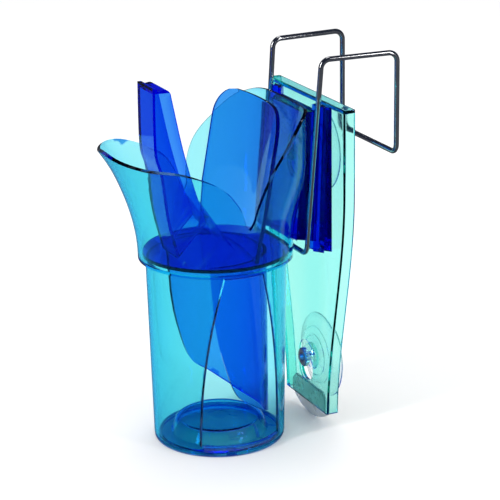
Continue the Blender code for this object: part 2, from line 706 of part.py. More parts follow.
def thumb_nut(side, height):
    """Knurled thumb nut that clamps the plate against the cup."""
    front = -(NUT_T / 2)
    outline = []
    for k in range(2 * NUT_TEETH):
        radius = NUT_R if k % 2 else NUT_R - 0.45 * MM
        a = math.pi * k / NUT_TEETH
        outline.append((radius * math.cos(a), radius * math.sin(a)))
    obj = add_part(side + "_thumb_nut", prism_mesh(side + "_thumb_nut", outline, front, -front, "Y"), "steel", 20)
    work = bmesh.new()
    bore = STUD_R + GAP
    bmesh.ops.create_cone(work, cap_ends=True, segments=20, radius1=bore, radius2=bore, depth=4 * NUT_T,
                          matrix=Matrix.Rotation(math.radians(90), 4, "X"))
    cutter = add_cutter("bore_" + side, to_mesh("bore_" + side, work))
    centre = (0, PLATE_Y + PAD_DEEP - GAP - NUT_T / 2, height)
    cutter.location = centre
    obj.location = centre
    boolean(obj, cutter, "DIFFERENCE")
    return obj


def shift_to_origin():
    """Move everything so that the origin lies under the middle of the object."""
    for obj in list(PARTS.objects) + list(CUTTERS.objects):
        obj.location.y -= ORIGIN_Y


clear_scene()
PARTS = collection("ice_scoop_holder")
CUTTERS = collection("cutters")
holder_shell()
holder_hooks()
scoop_bowl()
scoop_guard()
scoop_handle()
bracket_plate()
rail("left_rail", -1)
rail("right_rail", 1)
bracket_bumper()
hanger_wire()
for cup_side, cup_height in CUP_Z.items():
    suction_cup(cup_side, cup_height)
    cup_stud(cup_side, cup_height)
    thumb_nut(cup_side, cup_height)
shift_to_origin()
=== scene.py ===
"""Ice scoop in its guard holder, on a bracket with suction cups and a wire hanger.

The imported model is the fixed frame.  Each sub-assembly is a class that builds its own smooth
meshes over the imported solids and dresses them.  Every shape is worked out about the axis of the
cup, with -Y towards the pouring lip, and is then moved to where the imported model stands.
"""

import logging
import math
from dataclasses import dataclass, field
from enum import Enum
from typing import Callable, Sequence

import bmesh
import bpy
from mathutils import Matrix, Vector


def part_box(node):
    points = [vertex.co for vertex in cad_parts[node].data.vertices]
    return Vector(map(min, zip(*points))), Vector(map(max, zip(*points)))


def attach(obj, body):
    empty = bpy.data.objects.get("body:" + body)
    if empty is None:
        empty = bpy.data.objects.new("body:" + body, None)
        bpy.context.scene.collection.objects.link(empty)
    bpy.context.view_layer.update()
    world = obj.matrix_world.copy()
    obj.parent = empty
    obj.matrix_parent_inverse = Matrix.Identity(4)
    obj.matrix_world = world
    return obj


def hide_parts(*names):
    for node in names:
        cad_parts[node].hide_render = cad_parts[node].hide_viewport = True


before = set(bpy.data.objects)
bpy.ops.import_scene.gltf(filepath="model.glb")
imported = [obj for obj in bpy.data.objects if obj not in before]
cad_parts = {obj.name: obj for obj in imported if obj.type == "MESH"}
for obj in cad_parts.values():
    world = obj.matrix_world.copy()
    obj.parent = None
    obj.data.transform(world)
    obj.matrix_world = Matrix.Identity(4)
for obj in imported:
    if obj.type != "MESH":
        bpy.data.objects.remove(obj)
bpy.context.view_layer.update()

LOG = logging.getLogger("ice_scoop_holder")
MM = 0.001
PLATE_FROM_AXIS = 60.0 * MM

NOISE_ROUGH = 0.55
SHADING_WEIGHT = 90
MIX_FACTOR, MIX_ONE, MIX_TWO, MIX_RESULT = 0, 6, 7, 2  # the colour sockets of a Mix node

Point2 = tuple[float, float]
Triple = tuple[float, float, float]
RingPlace = Callable[[float], Vector]
Piece = bpy.types.Object
Shape = bmesh.types.BMesh
Socket = bpy.types.NodeSocket


class Side(Enum):
    """The two sides of the object, as the sign of X."""

    LEFT = -1
    RIGHT = 1


class Level(Enum):
    """The two suction cups."""

    LOWER = "lower"
    UPPER = "upper"


class Axis(Enum):
    """The axis that an outline is extruded along."""

    X = 0
    Y = 1
    Z = 2

    def place(self, one: float, two: float, along: float) -> Triple:
        """Put an outline's point at a distance along the axis.

        Args:
            one: the point's first number.
            two: its second number.
            along: the distance along the axis.

        Returns:
            The point in space.
        """
        spot = [one, two]
        spot.insert(self.value, along)
        return tuple(spot)


# ------------------------------------------------------------------ small tools


def smooth_step(value: float) -> float:
    """Blend from 0 to 1 with flat ends."""
    value = min(1.0, max(0.0, value))
    return value * value * (3 - 2 * value)


def curve_through(points: Sequence[Point2], count: int) -> list[Point2]:
    """Draw a smooth curve through a few points.

    Args:
        points: the points, in order.
        count: the number of steps along the curve.

    Returns:
        count + 1 points on the curve.
    """
    ends = [points[0], *points, points[-1]]
    spans = len(points) - 1
    made = []
    for k in range(count + 1):
        place = spans * k / count
        i = min(int(place), spans - 1)
        t = place - i
        p0, p1, p2, p3 = (Vector(ends[i + j]) for j in range(4))
        point = 0.5 * (
            2 * p1 + (p2 - p0) * t + (2 * p0 - 5 * p1 + 4 * p2 - p3) * t * t
            + (3 * p1 - p0 - 3 * p2 + p3) * t * t * t
        )
        made.append((point.x, point.y))
    return made


def read_curve(curve: Sequence[Point2], at: float) -> float:
    """Read the second number of a curve where its first number is at.

    Args:
        curve: points whose first number never falls.
        at: the place to read.

    Returns:
        The second number, held level beyond the ends.
    """
    if at <= curve[0][0]:
        return curve[0][1]
    for (a, low), (b, high) in zip(curve, curve[1:]):
        if at <= b:
            return low + (high - low) * (at - a) / max(b - a, 1e-9)
    return curve[-1][1]


def arc(centre: Point2, radius: float, start: float, end: float, steps: int) -> list[Point2]:
    """Points on an arc in a plane.

    Args:
        centre: the arc's centre.
        radius: its radius.
        start: first angle in degrees.
        end: last angle in degrees.
        steps: the number of steps.

    Returns:
        steps + 1 points.
    """
    angles = [math.radians(start + (end - start) * k / steps) for k in range(steps + 1)]
    return [(centre[0] + radius * math.cos(a), centre[1] + radius * math.sin(a)) for a in angles]


def add_object(name: str, data: bpy.types.ID) -> Piece:
    """Make an object and link it to the scene.

    Args:
        name: the object's name.
        data: its mesh, curve, light or camera.

    Returns:
        The new object.
    """
    obj = bpy.data.objects.new(name, data)
    bpy.context.scene.collection.objects.link(obj)
    return obj


def finish_mesh(work: Shape, name: str, offset_y: float = 0.0) -> Piece:
    """Turn a bmesh into an object at the origin.

    Args:
        work: the shape.
        name: the object's name.
        offset_y: how far the shape is moved along Y first.

    Returns:
        The new object.
    """
    bmesh.ops.translate(work, verts=work.verts, vec=(0, offset_y, 0))
    mesh = bpy.data.meshes.new(name)
    work.to_mesh(mesh)
    work.free()
    return add_object(name, mesh)


def bake_modifiers(obj: Piece, smooth: float = 38.0) -> Piece:
    """Apply an object's modifiers and shade it smooth but for its sharp edges.

    Args:
        obj: the object.
        smooth: edges sharper than this many degrees stay sharp.

    Returns:
        The same object.
    """
    graph = bpy.context.evaluated_depsgraph_get()
    mesh = bpy.data.meshes.new_from_object(obj.evaluated_get(graph))
    obj.modifiers.clear()
    obj.data = mesh
    mesh.name = obj.name
    mesh.shade_smooth()
    mesh.set_sharp_from_angle(angle=math.radians(smooth))
    return obj


def add_wall(obj: Piece, thickness: float, offset: float) -> None:
    """Give an open sheet its wall with a Solidify modifier.

    Args:
        obj: the sheet.
        thickness: the wall's thickness.
        offset: -1 for a wall behind the sheet, 1 for one in front, 0 for one about it.
    """
    step = obj.modifiers.new("wall", "SOLIDIFY")
    step.thickness = thickness
    step.offset = offset
    step.use_even_offset = True
    step.use_quality_normals = True


def round_edges(obj: Piece, width: float, segments: int = 2, angle: float = 50.0) -> Piece:
    """Round an object's sharp edges and apply its modifiers.

    Args:
        obj: the object.
        width: how much of each edge is taken away.
        segments: the number of facets across a rounded edge.
        angle: edges sharper than this many degrees are rounded.

    Returns:
        The same object.
    """
    step = obj.modifiers.new("rounding", "BEVEL")
    step.width = width
    step.segments = segments
    step.limit_method = "ANGLE"
    step.angle_limit = math.radians(angle)
    step.use_clamp_overlap = True
    return bake_modifiers(obj)


def cut(obj: Piece, cutter: Piece) -> None:
    """Cut one object out of another and remove the cutter.

    Args:
        obj: the object that is cut.
        cutter: the object that is taken away.
    """
    step = obj.modifiers.new("cut", "BOOLEAN")
    step.operation = "DIFFERENCE"
    step.solver = "EXACT"
    step.object = cutter
    bake_modifiers(obj)
    bpy.data.objects.remove(cutter, do_unlink=True)


def tapered(low_outline: Sequence[Point2], high_outline: Sequence[Point2], low: float, high: float,
            axis: Axis = Axis.Z) -> Shape:
    """Extrude a closed outline along an axis, towards a second outline.

    Args:
        low_outline: where it starts: (Y, Z) for axis X, (X, Z) for axis Y, (X, Y) for axis Z.
        high_outline: where it ends, with as many points.
        low: how far along the axis it starts.
        high: how far along the axis it ends.
        axis: the axis.

    Returns:
        The closed solid.
    """
    work = bmesh.new()
    verts = [work.verts.new(axis.place(*point, low)) for point in low_outline]
    targets = {vert.co.to_tuple(7): axis.place(*point, high) for vert, point in zip(verts, high_outline)}
    face = bmesh.ops.contextual_create(work, geom=verts)["faces"][0]
    grown = bmesh.ops.extrude_face_region(work, geom=[face])["geom"]
    for vert in (item for item in grown if isinstance(item, bmesh.types.BMVert)):
        vert.co = targets[vert.co.to_tuple(7)]
    bmesh.ops.recalc_face_normals(work, faces=work.faces)
    return work


def prism(outline: Sequence[Point2], low: float, high: float, axis: Axis) -> Shape:
    """Extrude a closed outline straight along an axis."""
    return tapered(outline, outline, low, high, axis)


def turned(profile: Sequence[Point2], steps: int) -> Shape:
    """Spin a closed profile about Z.

    Args:
        profile: (radius, height) pairs, from the axis round to the axis again.
        steps: the number of facets.

    Returns:
        The closed turned solid.
    """
    work = bmesh.new()
    verts = [work.verts.new((radius, 0, height)) for radius, height in profile]
    edges = [work.edges.new(pair) for pair in zip(verts, verts[1:])]
    bmesh.ops.spin(work, geom=verts + edges, cent=(0, 0, 0), axis=(0, 0, 1), angle=math.tau,
                   steps=steps, use_merge=True)
    bmesh.ops.remove_doubles(work, verts=work.verts, dist=1e-6)
    bmesh.ops.recalc_face_normals(work, faces=work.faces)
    return work


def lay_along_y(work: Shape, height: float) -> None:
    """Turn a shape made about Z so that its axis runs along +Y at a height."""
    turn = Matrix.Translation((0, 0, height)) @ Matrix.Rotation(math.radians(-90), 4, "X")
    bmesh.ops.transform(work, matrix=turn, verts=work.verts)


# ------------------------------------------------------------------ finishes


@dataclass(frozen=True)
class Pattern:
    """A noise pattern, and the range of it that shows."""

    scale: float
    detail: float
    low: float
    high: float


@dataclass(frozen=True)
class NodeSheet:
    """Short names for the nodes that the finishes and the sky share."""

    tree: bpy.types.NodeTree

    def add(self, kind: str) -> bpy.types.Node:
        """Add a node of a kind."""
        return self.tree.nodes.new(f"ShaderNode{kind}")

    def link(self, source: Socket, target: Socket) -> None:
        """Link an output to an input."""
        self.tree.links.new(source, target)

    def coords(self, scale: Triple = (1, 1, 1)) -> Socket:
        """Object coordinates.

        Args:
            scale: how they are stretched along X, Y and Z.

        Returns:
            The coordinates.
        """
        source, mapping = self.add("TexCoord"), self.add("Mapping")
        mapping.inputs["Scale"].default_value = scale
        self.link(source.outputs["Object"], mapping.inputs["Vector"])
        return mapping.outputs["Vector"]

    def noise(self, vector: Socket, scale: float, detail: float) -> Socket:
        """A noise pattern.

        Args:
            vector: where it is read.
            scale: its fineness.
            detail: its number of octaves.

        Returns:
            The pattern's value, about 0 to 1.
        """
        node = self.add("TexNoise")
        for name, number in (("Scale", scale), ("Detail", detail), ("Roughness", NOISE_ROUGH)):
            node.inputs[name].default_value = number
        self.link(vector, node.inputs["Vector"])
        return node.outputs["Fac"]

    def remap(self, value: Socket, low: float, high: float, out_low: float = 0.0,
              out_high: float = 1.0) -> Socket:
        """Map a value's range to another range.

        Args:
            value: the value.
            low: the start of its range.
            high: the end of its range.
            out_low: the start of the new range.
            out_high: the end of the new range.

        Returns:
            The new value, held at the ends of its range.
        """
        node = self.add("MapRange")
        ends = {"From Min": low, "From Max": high, "To Min": out_low, "To Max": out_high}
        for name, number in ends.items():
            node.inputs[name].default_value = number
        self.link(value, node.inputs["Value"])
        return node.outputs["Result"]

    def pattern(self, vector: Socket, kind: Pattern, out_low: float = 0.0, out_high: float = 1.0) -> Socket:
        """A noise pattern with the range that shows mapped to out_low..out_high."""
        return self.remap(self.noise(vector, kind.scale, kind.detail), kind.low, kind.high, out_low, out_high)

    def edge_wear_and_shade(self, low: float, high: float, out_low: float = 0.0, out_high: float = 1.0) -> Socket:
        """How sharp the surface's edges are: out_low on its faces, out_high on its sharpest edges."""
        return self.remap(self.add("NewGeometry").outputs["Pointiness"], low, high, out_low, out_high)

    def maths(self, kind: str, one: Socket, two: Socket, clamp: bool = False) -> Socket:
        """Join two values.

        Args:
            kind: the Math node's operation.
            one: the first value.
            two: the second value.
            clamp: whether the result is held between 0 and 1.

        Returns:
            The result.
        """
        node = self.add("Math")
        node.operation = kind
        node.use_clamp = clamp
        self.link(one, node.inputs[0])
        self.link(two, node.inputs[1])
        return node.outputs[0]

    def blend(self, factor: Socket, one: Triple | Socket, two: Triple) -> Socket:
        """Mix two colours.

        Args:
            factor: 0 gives the first colour and 1 the second.
            one: the first colour, or the socket that it comes from.
            two: the second colour.

        Returns:
            The mixed colour.
        """
        node = self.add("Mix")
        node.data_type = "RGBA"
        if isinstance(one, Socket):
            self.link(one, node.inputs[MIX_ONE])
        else:
            node.inputs[MIX_ONE].default_value = (*one, 1.0)
        node.inputs[MIX_TWO].default_value = (*two, 1.0)
        self.link(factor, node.inputs[MIX_FACTOR])
        return node.outputs[MIX_RESULT]

    def bump(self, height: Socket, strength: float, distance: float) -> Socket:
        """A bump normal.

        Args:
            height: the height of the bumps, 0 to 1.
            strength: how strongly they show.
            distance: how high they stand.

        Returns:
            The normal.
        """
        node = self.add("Bump")
        node.inputs["Strength"].default_value = strength
        node.inputs["Distance"].default_value = distance
        self.link(height, node.inputs["Height"])
        return node.outputs["Normal"]


def new_material(name: str) -> tuple[bpy.types.Material, NodeSheet, bpy.types.Node]:
    """Make a material with one Principled shader.

    Args:
        name: the material's name.

    Returns:
        The material, its node sheet and its shader.
    """
    made = bpy.data.materials.new(name)
    made.use_nodes = True
    return made, NodeSheet(made.node_tree), made.node_tree.nodes["Principled BSDF"]


@dataclass(frozen=True)
class ClearPlastic:
    """Transparent moulded plastic that takes its colour from the depth of its wall, with painted shade along
    its sharp edges.
    """

    name: str
    absorb: Triple
    density: float
    # painted shade: the colour blended in along the sharp edges, where the clear wall looks dark
    edge: Triple
    tint: Triple = (0.98, 0.99, 0.91)
    tint_deep: Triple = (0.94, 0.98, 0.89)
    index: float = 1.36
    sheen_tint: Triple = (0.15, 0.40, 1.0)
    gloss_low: float = 0.012
    gloss_high: float = 0.055
    scuffs: float = 0.10
    ripple: float = 0.10
    milk: float = 0.0
    edge_clear: float = 1.0
    edge_dull: float = 0.05
    edge_shade_range: Point2 = (0.515, 0.56)
    dull_range: Point2 = (0.52, 0.60)
    clear_range: Point2 = (0.53, 0.60)
    flow: Pattern = Pattern(22, 2, 0.35, 0.70)
    haze: Pattern = Pattern(75, 5, 0.35, 0.75)
    hairs: Pattern = Pattern(1500, 2, 0.64, 0.70)
    hair_grain: Triple = (1, 1, 0.05)
    rub: Pattern = Pattern(48, 3, 0.50, 0.66)
    ripple_scale: float = 55.0
    ripple_detail: float = 2.0
    ripple_depth: float = 0.4 * MM

    def build(self) -> bpy.types.Material:
        """Build the material.

        Returns:
            A material with tinted depth, painted shade along its sharp edges, mould ripple, hairline scuffs
            and dulled edges.
        """
        made, sheet, shader = new_material(self.name)
        even = sheet.coords()
        body = sheet.blend(sheet.pattern(even, self.flow), self.tint, self.tint_deep)
        # painted shade: the sharp edges take the dark edge colour
        body = sheet.blend(sheet.edge_wear_and_shade(*self.edge_shade_range), body, self.edge)
        sheet.link(body, shader.inputs["Base Color"])
        haze = sheet.pattern(even, self.haze, self.gloss_low, self.gloss_high)
        hairs = sheet.pattern(sheet.coords(self.hair_grain), self.hairs)
        rubbed = sheet.maths("MULTIPLY", hairs, sheet.pattern(even, self.rub, 0.0, self.scuffs))
        dull = sheet.edge_wear_and_shade(*self.dull_range, 0.0, self.edge_dull)
        rough = sheet.maths("ADD", sheet.maths("ADD", haze, rubbed), dull)
        sheet.link(rough, shader.inputs["Roughness"])
        ripple = sheet.noise(even, self.ripple_scale, self.ripple_detail)
        sheet.link(sheet.bump(ripple, self.ripple, self.ripple_depth), shader.inputs["Normal"])
        clear = shader.inputs["Transmission Weight"]
        clear.default_value = 1.0 - self.milk
        if self.edge_clear < 1.0:
            worn = sheet.edge_wear_and_shade(*self.clear_range, 1.0 - self.milk, self.edge_clear - self.milk)
            sheet.link(worn, clear)
        shader.inputs["IOR"].default_value = self.index
        shader.inputs["Specular Tint"].default_value = (*self.sheen_tint, 1.0)
        depth = sheet.add("VolumeAbsorption")
        depth.inputs["Color"].default_value = (*self.absorb, 1.0)
        depth.inputs["Density"].default_value = self.density
        sheet.link(depth.outputs["Volume"], sheet.tree.nodes["Material Output"].inputs["Volume"])
        return made


@dataclass(frozen=True)
class BrightMetal:
    """Plated or turned metal with fine draw marks and handling smears."""

    name: str
    colour: Triple
    colour_worn: Triple
    gloss_low: float
    gloss_high: float
    grain: Triple = (1, 1, 0.04)
    grain_scale: float = 2200.0
    grain_detail: float = 3.0
    grain_strength: float = 0.12
    grain_depth: float = 0.05 * MM
    smear: Pattern = Pattern(120, 4, 0.55, 0.80)
    smear_wear: float = 0.8
    wear_range: Point2 = (0.53, 0.62)
    mark_range: Point2 = (0.12, 0.42)

    def build(self) -> bpy.types.Material:
        """Build the material.

        Returns:
            A metal with draw marks along its length, smears and bright worn edges.
        """
        made, sheet, shader = new_material(self.name)
        marks = sheet.noise(sheet.coords(self.grain), self.grain_scale, self.grain_detail)
        smear = sheet.noise(sheet.coords(), self.smear.scale, self.smear.detail)
        smeared = sheet.remap(smear, self.smear.low, self.smear.high, 0.0, self.smear_wear)
        worn = sheet.maths("MAXIMUM", sheet.edge_wear_and_shade(*self.wear_range), smeared)
        sheet.link(sheet.blend(worn, self.colour, self.colour_worn), shader.inputs["Base Color"])
        marked = sheet.maths("MULTIPLY", marks, smear)
        gloss = sheet.remap(marked, *self.mark_range, self.gloss_low, self.gloss_high)
        sheet.link(gloss, shader.inputs["Roughness"])
        sheet.link(sheet.bump(marks, self.grain_strength, self.grain_depth), shader.inputs["Normal"])
        shader.inputs["Metallic"].default_value = 1.0
        return made


@dataclass(frozen=True)
class PaleFloor:
    """The matt studio table, with a painted dark reflection: it looks dark to mirrored rays, as a dark card
    would.
    """

    name: str = "pale_table"
    colour: Triple = (0.97, 0.97, 0.97)
    colour_grain: Triple = (0.96515, 0.96515, 0.96515)
    # painted reflection: the dark colour that mirrored rays see on the table
    painted_surround: Triple = (0.075, 0.085, 0.11)
    grain_scale: float = 6.0
    grain_detail: float = 2.0
    rough: float = 0.9

    def build(self) -> bpy.types.Material:
        """Build the material.

        Returns:
            A plain matt material, with a painted dark reflection for mirrored rays.
        """
        made, sheet, shader = new_material(self.name)
        path = sheet.add("LightPath")
        # painted reflection: mirrored rays get the dark colour in place of the pale one
        painted_reflection_mask = sheet.maths("SUBTRACT", path.outputs["Is Glossy Ray"], path.outputs["Is Transmission Ray"])
        grain = sheet.noise(sheet.coords(), self.grain_scale, self.grain_detail)
        plain = sheet.blend(grain, self.colour, self.colour_grain)
        sheet.link(sheet.blend(painted_reflection_mask, plain, self.painted_surround), shader.inputs["Base Color"])
        shader.inputs["Roughness"].default_value = self.rough
        return made


Finish = ClearPlastic | BrightMetal

# The fourth argument of each plastic, its edge colour, is painted shade along its sharp edges.
AQUA = ClearPlastic("aqua_plastic", (0.0, 0.83, 0.982), 500.0, (0.03, 0.22, 0.72), edge_clear=0.70)
BLUE = ClearPlastic("blue_plastic", (0.0, 0.63, 0.984), 1150.0, (0.06, 0.22, 0.85))
# painted shade: the next two finishes are darker, denser copies of the blue and aqua plastic, for the disc,
# the rails and the hooks
SHADED_BLUE = ClearPlastic("blue_plastic", (0.0, 0.60, 0.965), 2100.0, (0.06, 0.22, 0.85))
SHADED_AQUA = ClearPlastic("aqua_plastic", (0.0, 0.60, 0.972), 1100.0, (0.05, 0.20, 0.80))
PALE = ClearPlastic("pale_plastic", (0.0, 0.925, 0.91), 270.0, (0.60, 0.90, 0.86))
VINYL = ClearPlastic(
    "clear_vinyl", (0.2, 0.55, 0.60), 24.0, (0.80, 0.88, 0.90), tint=(0.98, 0.99, 0.99),
    tint_deep=(0.94, 0.97, 0.97), index=1.20, sheen_tint=(0.9, 0.95, 1.0), gloss_low=0.05, gloss_high=0.14,
    scuffs=0.12, ripple=0.15)
BUFFER = ClearPlastic(
    "clear_vinyl", (0.6, 0.75, 0.80), 24.0, (0.60, 0.66, 0.70), tint=(0.86, 0.88, 0.90),
    tint_deep=(0.78, 0.81, 0.84), sheen_tint=(0.9, 0.95, 1.0), gloss_low=0.22, gloss_high=0.34,
    scuffs=0.12, ripple=0.25, milk=0.35)
WIRE = BrightMetal("chrome_wire", (0.40, 0.40, 0.41), (0.58, 0.58, 0.59), 0.05, 0.14)
STEEL = BrightMetal("steel", (0.80, 0.79, 0.77), (0.94, 0.94, 0.93), 0.22, 0.42, (1, 0.08, 1), 1400.0)


@dataclass
class Workshop:
    """Where the object stands, and the finishes already mixed."""

    axis_y: float
    mixed: dict[Finish, bpy.types.Material] = field(default_factory=dict)
    made: int = 0

    def stand(self, work: Shape, name: str) -> Piece:
        """Make an object of a shape that was worked out about the cup's axis."""
        return finish_mesh(work, name, self.axis_y)

    def dress(self, obj: Piece, finish: Finish, body: str, nodes: Sequence[str] = ()) -> None:
        """Give a finished piece its material, its body and the CAD nodes that it stands for.

        Args:
            obj: the piece.
            finish: what it is made of.
            body: the CAD body it moves with.
            nodes: CAD nodes it replaces.
        """
        if finish not in self.mixed:
            self.mixed[finish] = finish.build()
        obj.data.materials.clear()
        obj.data.materials.append(self.mixed[finish])
        even = obj.modifiers.new("even_shading", "WEIGHTED_NORMAL")
        even.mode = "FACE_AREA"
        even.weight = SHADING_WEIGHT
        even.keep_sharp = True
        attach(obj, body)
        if nodes:
            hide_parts(*nodes)
        self.made += 1
        LOG.info("%s rides on %s: %d faces", obj.name, body, len(obj.data.polygons))


# ------------------------------------------------------------------ holder


@dataclass
class GuardHolder:
    """Cup, collar and flared guard, with the hooks behind that slide into the rails."""

    shop: Workshop
    wall: float = 2.2 * MM
    cup_base_r: float = 40.0 * MM
    cup_top_r: float = 42.4 * MM
    collar_z: float = 115.5 * MM
    collar_r: float = 46.8 * MM
    step_h: float = 2.0 * MM
    neck_grow: float = 3.4 * MM
    wing_grow: float = 6.5 * MM
    back_y: float = 42.6 * MM
    back_slope: float = 0.065
    back_top: float = 206.5 * MM
    lip_reach: float = 72.0 * MM
    lip_z: float = 188.5 * MM
    saddle_z: float = 143.8 * MM
    foot_w: float = 3.2 * MM
    floor_up: float = 1.4 * MM
    punt_r: float = 27.0 * MM
    punt_h: float = 9.6 * MM
    window_low: float = 6.5 * MM
    window_half: float = 25.4 * MM
    window_top_half: float = 12.5 * MM
    window_in: float = 28.0 * MM
    window_out: float = 60.0 * MM
    columns: int = 168
    rows: int = 30
    wall_steps: int = 12
    crowd: float = 0.33
    halvings: int = 36
    neck_rise: float = 50.0 * MM
    wing_from: float = 18.0 * MM
    wing_rise: float = 44.0 * MM
    wing_angle: float = 72.0
    wing_turn: float = 24.0
    spout_power: float = 2.6
    spout_angle: float = 76.0
    spout_turn: float = 46.0
    back_from: float = 0.2
    back_corner: int = 22
    hook_web_x: float = 20.0 * MM
    hook_web: float = 2.2 * MM
    hook_lip: float = 5.2 * MM
    hook_lip_t: float = 2.0 * MM
    hook_low: float = 123.2 * MM
    hook_top: float = 202.0 * MM
    hook_lip_y: float = 52.4 * MM
    rail_low: float = 118.0 * MM
    rail_slope: float = 0.040

    def back_face(self, height: float) -> float:
        """Where the flat back stands at a height."""
        return self.back_y + self.back_slope * max(0.0, height - self.collar_z)

    def radius(self, angle: float, height: float) -> float:
        """Outer radius of collar and guard.

        Args:
            angle: degrees from the pouring lip, 0 to 180.
            height: height above the table.

        Returns:
            The distance from the cup's axis.
        """
        above = max(0.0, height - self.collar_z)
        share = min(above / (self.lip_z - self.collar_z), 1.05)
        neck = self.collar_r + self.neck_grow * smooth_step(above / self.neck_rise)
        wing = (self.wing_grow * smooth_step((above - self.wing_from) / self.wing_rise)
                * smooth_step((angle - self.wing_angle) / self.wing_turn))
        reach = self.lip_reach - self.collar_r - self.neck_grow
        spout = reach * share ** self.spout_power * smooth_step((self.spout_angle - angle) / self.spout_turn)
        radius = neck + wing + spout
        facing = -math.cos(math.radians(angle))
        if facing > self.back_from:
            flat = self.back_face(height) / facing
            corner = self.back_corner
            radius = (radius ** -corner + flat ** -corner) ** (-1 / corner)
        return radius

    def rim_curve(self) -> list[Point2]:
        """The rim in side view.

        Returns:
            (Y, Z) pairs from the pouring lip to the tall back.
        """
        top, reach, lip, saddle = self.back_face(self.back_top), self.lip_reach, self.lip_z, self.saddle_z
        front = curve_through([
            (-reach - 1 * MM, lip + 1 * MM), (-0.985 * reach, lip - 1.2 * MM),
            (-0.935 * reach, lip - 3.9 * MM), (-0.83 * reach, lip - 5.5 * MM),
            (-0.60 * reach, lip - 7.2 * MM), (-0.38 * reach, lip - 12.5 * MM),
            (-0.21 * reach, lip - 19.5 * MM), (-6.2 * MM, saddle + 13 * MM),
            (-2.6 * MM, saddle + 3 * MM), (0, saddle)], 60)
        back = curve_through([
            (0, saddle), (2.4 * MM, saddle + 4 * MM), (4.3 * MM, saddle + 14 * MM),
            (8.7 * MM, saddle + 26 * MM), (15.2 * MM, saddle + 36.2 * MM),
            (0.51 * top, self.back_top - 16.5 * MM), (0.72 * top, self.back_top - 6.5 * MM),
            (0.90 * top, self.back_top - 1.5 * MM), (top + 1 * MM, self.back_top)], 60)
        return front + back[1:]

    def rim_height(self, angle: float, curve: Sequence[Point2]) -> float:
        """Height of the rim at an angle.

        Args:
            angle: degrees from the pouring lip.
            curve: the rim's side view.

        Returns:
            The height where the guard's surface meets the rim.
        """
        low, high = self.collar_z, self.back_top + 2 * MM
        for _ in range(self.halvings):
            middle = (low + high) / 2
            depth = -self.radius(angle, middle) * math.cos(math.radians(angle))
            if middle < read_curve(curve, depth):
                low = middle
            else:
                high = middle
        return low

    def crowded(self, turn: float) -> float:
        """Crowd the columns towards the saddles: an even turn in, a crowded one out, in radians."""
        return turn + self.crowd * math.sin(2 * turn)

    def base_rings(self) -> list[Point2]:
        """The cup's outside below the collar.

        Returns:
            (radius, height) pairs from the middle of the floor up to the collar.
        """
        punt, foot = self.punt_r, self.cup_base_r - self.foot_w
        rings = [
            (6.0 * MM, self.punt_h + 0.35 * MM), (6.6 * MM, self.punt_h), (0.6 * punt, self.punt_h),
            (punt - 3.4 * MM, self.punt_h), (punt - 2.3 * MM, self.punt_h - 0.3 * MM),
            (punt - 1.4 * MM, self.punt_h - 1.2 * MM), (punt + 0.8 * MM, self.floor_up + 1.3 * MM),
            (punt + 1.5 * MM, self.floor_up + 0.3 * MM), (punt + 2.6 * MM, self.floor_up),
            (foot - 1.4 * MM, self.floor_up), (foot - 1.0 * MM, 0.0), (self.cup_base_r - 1.6 * MM, 0.0),
            (self.cup_base_r - 0.7 * MM, 0.3 * MM), (self.cup_base_r - 0.2 * MM, 1.2 * MM),
        ]
        low, top = 3 * MM, self.collar_z - self.step_h
        for share in (k / self.wall_steps for k in range(self.wall_steps + 1)):
            radius = self.cup_base_r + (self.cup_top_r - self.cup_base_r) * share
            rings.append((radius, low + (top - low) * share))
        return rings

    def build_shell(self) -> Piece:
        """Build the cup, collar and guard as one thin wall.

        Returns:
            The shell.
        """
        curve = self.rim_curve()
        work = bmesh.new()
        rings = self.base_rings()
        made = bmesh.ops.create_circle(work, cap_ends=True, segments=self.columns, radius=rings[0][0])
        for vert in made["verts"]:
            turn = self.crowded(math.atan2(vert.co.x, -vert.co.y))
            vert.co = self.on_circle(turn, *rings[0])
        edges = [edge for edge in work.edges if edge.is_boundary]
        for radius, height in rings[1:]:
            edges = self.grow(work, edges, lambda turn, r=radius, z=height: self.on_circle(turn, r, z))
        tops: dict[float, float] = {}
        for k in range(self.rows + 1):
            edges = self.grow(work, edges, lambda turn, s=k / self.rows: self.on_guard(turn, s, curve, tops))
        bmesh.ops.recalc_face_normals(work, faces=work.faces)
        obj = self.shop.stand(work, "holder_cup")
        axis = Vector((0, self.shop.axis_y))
        outward = sum(face.area * face.normal.xy.dot(face.center.xy - axis) for face in obj.data.polygons)
        if outward < 0:
            obj.data.flip_normals()
        add_wall(obj, self.wall, -1.0)
        round_edges(obj, 0.65 * MM, 3, 62)
        cut(obj, self.window())
        return obj

    @staticmethod
    def on_circle(turn: float, radius: float, height: float) -> Vector:
        """A point on a plain ring."""
        return Vector((radius * math.sin(turn), -radius * math.cos(turn), height))

    def on_guard(self, turn: float, share: float, curve: Sequence[Point2],
                 tops: dict[float, float]) -> Vector:
        """A point of the guard.

        Args:
            turn: radians from the pouring lip.
            share: 0 at the collar, 1 at the rim.
            curve: the rim's side view.
            tops: rim heights already found.

        Returns:
            The point.
        """
        angle = round(abs(math.degrees(turn)), 3)
        if angle not in tops:
            tops[angle] = self.rim_height(angle, curve)
        height = self.collar_z + (tops[angle] - self.collar_z) * share
        return self.on_circle(turn, self.radius(angle, height), height)

